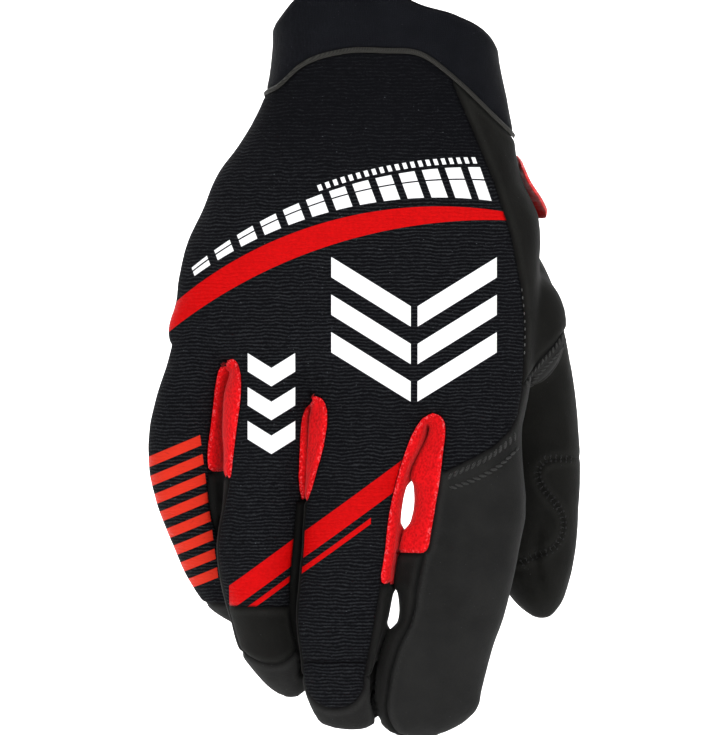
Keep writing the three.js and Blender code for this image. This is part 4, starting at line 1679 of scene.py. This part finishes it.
@dataclass
class PullTab:
    """Moulded tab on the thumb side of the wrist, which mostly lies behind the strip's edge."""

    depth: float = 5.6 * MM
    down: float = 53.7 * MM
    half_depth: float = 7.0 * MM
    half_length: float = 8.6 * MM
    lift: float = 1.4 * MM
    lean: float = 1.9 * MM  # how much further out its lower end stands
    thickness: float = 2.4 * MM

    def area(self, points: Points) -> np.ndarray:
        """Where it lies on the skin."""
        across = (points[:, 1] - self.depth) / self.half_depth
        along = (-points[:, 2] - self.down) / self.half_length
        ratio = (np.abs(across) ** 2.6 + np.abs(along) ** 2.6) ** (1 / 2.6)
        far = (ratio - 1) * self.half_depth
        return np.where(points[:, 0] > 0, far, np.maximum(far, self.half_depth))

    def build(self, skin: bpy.types.Object) -> bpy.types.Object:
        """Cuts the tab out of a copy of the skin and lifts it off."""
        piece = Cutter(skin).take("pull_tab", self.area)
        points = Workbench.points(piece.data)
        low, high = self.down - self.half_length, self.down + self.half_length
        points[:, 0] += self.lean * smoothstep(-points[:, 2], low, high)
        Workbench.put_points(piece.data, points)
        panel = Panel(
            piece, "pull_tab", "red_rubber", TAB_RUBBER, wall=self.thickness, inside=TAB_RUBBER,
            roll_depth=0.7 * MM, roll_width=1.3 * MM, raise_by=self.lift,
        )
        return panel.build()


@dataclass(frozen=True)
class Stitches:
    """A row of stitches along a line seen from the back of the glove.

    The line's corners are x and distance down in millimetres, and so are the sizes.
    """

    name: str
    line: Outline
    finish: Finish
    slot: str
    pitch: float
    length: float
    width: float
    height: float
    slant: float = 0.0
    zigzag: bool = False
    offset: float = 0.0
    sink: float = 0.3

    def master(self) -> bpy.types.Object:
        """One stitch, a long bead along X."""
        bpy.ops.object.select_all(action="DESELECT")
        bpy.ops.mesh.primitive_uv_sphere_add(segments=8, ring_count=6, radius=0.5)
        bead = bpy.context.object
        points = Workbench.points(bead.data)
        points = points[:, [2, 0, 1]] * np.array([self.length, self.width, self.height]) * MM
        Workbench.put_points(bead.data, points)
        return bead

    def build(self, surface: BVHTree) -> bpy.types.Object:
        """Lays the stitches on the cloth.

        Args:
            surface: The outer face of the cloth.

        Returns:
            All the stitches of the row as one object.
        """
        bead = self.master()
        line = rounded(np.array([(x * MM, -d * MM) for x, d in self.line]))
        steps = np.linalg.norm(np.diff(line, axis=0), axis=1)
        run = np.concatenate([[0.0], np.cumsum(steps)])
        work = bmesh.new()
        for n, at in enumerate(np.arange(0.3 * self.pitch * MM, run[-1], self.pitch * MM)):
            spot = np.array([np.interp(at, run, line[:, i]) for i in (0, 1)])
            ahead = np.array([np.interp(at + 0.2 * MM, run, line[:, i]) for i in (0, 1)])
            back = np.array([np.interp(at - 0.2 * MM, run, line[:, i]) for i in (0, 1)])
            way = (ahead - back) / np.linalg.norm(ahead - back)
            spot = spot + np.array([way[1], -way[0]]) * self.offset * MM
            hit, normal, _, _ = surface.ray_cast(
                Vector((spot[0], -2 * HAND_BREADTH, spot[1])), Vector((0.0, 1.0, 0.0))
            )
            if hit is None:
                continue
            turn = self.slant * (-1 if self.zigzag and n % 2 else 1)
            along = Vector((way[0], 0.0, way[1])).normalized()
            along = (along - normal * along.dot(normal)).normalized()
            along = Quaternion(normal, math.radians(turn)) @ along
            side = normal.cross(along)
            frame = Matrix((along, side, normal)).transposed().to_4x4()
            frame.translation = hit + normal * (0.5 - self.sink) * self.height * MM
            stitch = bead.data.copy()
            stitch.transform(frame)
            work.from_mesh(stitch)
            bpy.data.meshes.remove(stitch)
        mesh = bpy.data.meshes.new(self.name)
        work.to_mesh(mesh)
        work.free()
        bpy.data.objects.remove(bead)
        piece = bpy.data.objects.new(self.name, mesh)
        bpy.context.scene.collection.objects.link(piece)
        mesh.materials.append(Wardrobe.material(self.finish))
        Workbench.only(piece)
        bpy.ops.object.shade_smooth()
        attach(piece, "root")
        LOG.info("%s: %d faces", self.name, len(mesh.polygons))
        return piece


HEM_UPPER = ((36.3, 123.2), (32.6, 126.4), (28.8, 129.2), (24.6, 131.4), (20.6, 133.2), (17.6, 134.6))
HEM_LOWER = ((37.0, 126.6), (32.6, 131.0), (27.4, 134.2), (22.4, 136.4), (18.4, 137.7))
THUMB_BASE = ((50.2, 95.6), (47.4, 99.6), (43.8, 103.3), (40.8, 106.7), (39.3, 110.0))
PATCH_LINE = (
    (53.2, 130.4), (46.2, 129.6), (43.9, 131.2), (42.9, 133.2), (43.4, 136.4), (45.7, 139.7),
    (48.1, 142.2), (49.9, 145.0), (50.7, 147.8), (50.3, 152.0), (47.6, 156.0), (44.2, 156.8),
    (41.7, 157.6), (38.6, 159.6),
)
STITCHES = (
    Stitches("hem_stitches_upper", HEM_UPPER, THREAD, "ribbed_textile", 1.75, 2.3, 0.85, 0.8, 32),
    Stitches("hem_stitches_lower", HEM_LOWER, THREAD, "ribbed_textile", 1.75, 2.3, 0.8, 0.7, -32),
    Stitches(
        "thumb_base_stitches_upper", THUMB_BASE, THREAD, "thumb_synthetic", 1.5, 1.9, 0.6, 0.6,
        38, offset=0.35,
    ),
    Stitches(
        "thumb_base_stitches_lower", THUMB_BASE, THREAD, "thumb_synthetic", 1.5, 1.9, 0.6, 0.6,
        -38, offset=-1.35,
    ),
    # The two near-black rows along the patch seam are flat dark beads that stand in for the stitch holes:
    # painted shade of the holes.
    Stitches(
        "patch_hole_shade_outer", PATCH_LINE, DARK_THREAD_AND_HOLE_SHADE, "thumb_synthetic", 1.5, 0.72, 0.66, 0.3,
        offset=0.75,
    ),
    Stitches(
        "patch_hole_shade_inner", PATCH_LINE, DARK_THREAD_AND_HOLE_SHADE, "thumb_synthetic", 1.5, 0.72, 0.66, 0.3,
        offset=-0.75,
    ),
    Stitches(
        "patch_threads", PATCH_LINE, THREAD, "thumb_synthetic", 1.5, 0.9, 0.2, 0.25,
        70, zigzag=True, offset=0.1,
    ),
    Stitches(
        "strip_stitches", ((38.4, 82.0), (39.5, 92.1), (39.2, 101.4)), PALE_THREAD,
        "smooth_synthetic", 2.2, 0.9, 0.3, 0.4, offset=0.5,
    ),
    Stitches(
        "index_seam_stitches",
        (
            (10.8, 155.5), (9.7, 162.4), (8.0, 170.0), (5.8, 177.8), (3.8, 185.4), (0.9, 193.2),
        ),
        DARK_THREAD_AND_HOLE_SHADE, "finger_synthetic", 1.8, 1.0, 0.35, 0.3, offset=-0.9,
    ),
)


class Glove:
    """The whole glove: its skin, its panels and what is sewn on them."""

    def __init__(self) -> None:
        """Makes the skin and gets it ready to be cut."""
        skin = Skin()
        self.surface = BVHTree.FromObject(skin.piece, bpy.context.evaluated_depsgraph_get())
        self.tab = PullTab().build(skin.piece)
        self.cutter = Cutter(skin.piece)
        self.pieces: dict[str, bpy.types.Object] = {}

    def sew(self) -> None:
        """Adds the rows of stitches."""
        for row in STITCHES:
            self.pieces[row.name] = row.build(self.surface)

    def cut(self) -> None:
        """Cuts the panels in the order that they lie over each other."""
        take = self.cutter.take
        bpy.data.objects.remove(take("above_mouth", Regions.above_mouth))
        band = 1.0 * MM
        panels: list[Panel] = [
            Panel(
                take("cuff_band", Regions.above_cuff_seam), "cuff_band", "cuff_knit", CUFF_KNIT,
                fold_limit=0.0,
            ),
            Panel(
                take("cuff_binding", lambda p: Regions.above_cuff_seam(p) - band),
                "cuff_binding", "binding", BINDING_TAPE, roll_width=0.7 * MM, roll_depth=0.5 * MM,
                raise_by=0.55 * MM,
            ),
            Panel(take("thumb_patch", Regions.thumb_patch()), "thumb_patch", "thumb_synthetic", THUMB_SUEDE, roll_depth=0.22 * MM),
            Panel(take("thumb_back", Regions.thumb(180, 360)), "thumb_back", "thumb_synthetic", THUMB_SUEDE, roll_depth=0.3 * MM),
            Panel(take("thumb_palm", Regions.thumb(0, 180)), "thumb_palm", "thumb_synthetic", THUMB_SUEDE),
        ]
        for gusset in GUSSETS:
            name = f"fourchette_{gusset.little_side.value}_{gusset.thumb_side.value}"
            panels.append(Panel(take(name, Regions.gusset(gusset)), name, "red_mesh", GUSSET_CLOTH, roll_depth=0.85 * MM, tuck=0.45 * MM, inside=GUSSET_CLOTH))
        panels += [
            Panel(
                take("thumb_side_strip", Regions.thumb_side_strip()),
                "thumb_side_strip", "smooth_synthetic", STRIP_SUEDE,
            ),
            Panel(take("back_panel", Regions.back()), "back_panel", "ribbed_textile", BACK_CLOTH),
            Panel(
                take("index_back", Regions.strip(Part.INDEX, 0.5, 1.03)),
                "index_back", "finger_synthetic", FINGER_SUEDE,
            ),
            Panel(
                take("ring_end", Regions.strip(Part.RING, STRIP_ENDS[Part.RING], 0.893, 0.022)),
                "ring_end", "smooth_synthetic", STRIP_SUEDE,
            ),
            Panel(
                take("middle_end", Regions.strip(Part.MIDDLE, STRIP_ENDS[Part.MIDDLE], 0.946, 0.03)),
                "middle_end", "ribbed_textile", BACK_CLOTH,
            ),
        ]
        for gusset in GUSSETS:
            one, other = gusset.little_side, gusset.thumb_side
            walls = (
                (
                    f"side_{one.value}_thumbward",
                    Regions.thumbward(
                        one, gusset.little_end - SIDE_WALL_LEAD, SIDE_WALL_ENDS[one]
                    ),
                ),
                (
                    f"side_{other.value}_littleward",
                    Regions.littleward(
                        other, gusset.thumb_end - SIDE_WALL_LEAD, SIDE_WALL_ENDS[other]
                    ),
                ),
            )
            for name, area in walls:
                panels.append(Panel(take(name, area), name, "side_wall", SIDE_SUEDE))
        panels.append(Panel(self.cutter.rest("palm_panel"), "palm_panel", "finger_synthetic", FINGER_SUEDE))
        for panel in panels:
            self.pieces[panel.node] = panel.build()


@dataclass
class Studio:
    """Pale floor that sweeps up behind the glove, soft lights and the camera."""

    distance: float = 1.6
    centre: tuple[float, float, float] = (-7 * MM, 0.0, -104.3 * MM)
    frame_height: float = 205.8 * MM

    def build(self) -> None:
        """Adds the sweep, the lights and the camera."""
        self.sweep()
        self.light("key_light", (-0.7, -1.5, 0.7), 1.0, 20)
        self.light("fill_light", (0.8, -1.5, 0.2), 0.9, 12)
        self.light("backdrop_light", (0.0, 0.5, 1.9), 1.4, 110, (0.0, 2.6, -0.1))
        world = bpy.data.worlds.new("studio_air")
        bpy.context.scene.world = world
        world.use_nodes = True
        air = world.node_tree.nodes["Background"]
        air.inputs["Color"].default_value = (1.0, 1.0, 1.0, 1.0)
        air.inputs["Strength"].default_value = 0.22
        self.camera()

    def sweep(self) -> None:
        """Adds the floor and the wall behind as one bent sheet."""
        bpy.ops.object.select_all(action="DESELECT")
        bpy.ops.mesh.primitive_grid_add(x_subdivisions=2, y_subdivisions=48, size=1)
        floor = bpy.context.object
        floor.name = "floor"
        grid = Workbench.points(floor.data) + 0.5
        run = grid[:, 1] * 6.4
        flat, bend = 3.2, 0.9
        turn = np.clip((run - flat) / bend, 0, math.pi / 2)
        y = -2.4 + np.minimum(run, flat) + bend * np.sin(turn)
        z = bend * (1 - np.cos(turn)) + np.maximum(run - flat - bend * math.pi / 2, 0)
        points = np.stack([(grid[:, 0] - 0.5) * 8, y, z - 0.245], axis=1)
        Workbench.put_points(floor.data, points)
        paint = bpy.data.materials.new("pale_paper")
        paint.use_nodes = True
        shader = paint.node_tree.nodes["Principled BSDF"]
        shader.inputs["Base Color"].default_value = (0.9, 0.9, 0.9, 1.0)
        shader.inputs["Roughness"].default_value = 0.9
        floor.data.materials.append(paint)
        Workbench.only(floor)
        bpy.ops.object.shade_smooth()

    @staticmethod
    def light(name: str, place: tuple[float, float, float], size: float, power: float,
              target: tuple[float, float, float] = (0.0, 0.0, -0.1)) -> None:
        """Adds a soft square light.

        Args:
            name: Its name.
            place: Where it stands.
            size: Width of its square.
            power: Watts.
            target: What it looks at, the glove unless given.
        """
        bpy.ops.object.light_add(type="AREA", location=place)
        lamp = bpy.context.object
        lamp.name = name
        lamp.data.size = size
        lamp.data.energy = power
        aim = Vector(target) - Vector(place)
        lamp.rotation_euler = aim.to_track_quat("-Z", "Y").to_euler()

    def camera(self) -> None:
        """Adds the camera, level with the middle of the glove."""
        x, y, z = self.centre
        bpy.ops.object.camera_add(location=(x, y - self.distance, z))
        camera = bpy.context.object
        camera.name = "camera"
        camera.rotation_euler = (math.pi / 2, 0.0, 0.0)
        camera.data.sensor_fit = "VERTICAL"
        camera.data.sensor_height = 24.0
        camera.data.lens = 24.0 * self.distance / self.frame_height
        camera.data.clip_start = 0.01
        bpy.context.scene.camera = camera


def main() -> None:
    """Builds the glove and its studio."""
    logging.basicConfig(level=logging.INFO, format="%(message)s")
    bpy.context.scene.view_settings.view_transform = "Standard"
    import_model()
    glove = Glove()
    glove.cut()
    glove.sew()
    Studio().build()
    bpy.context.view_layer.update()


if __name__ == "__main__":
    main()
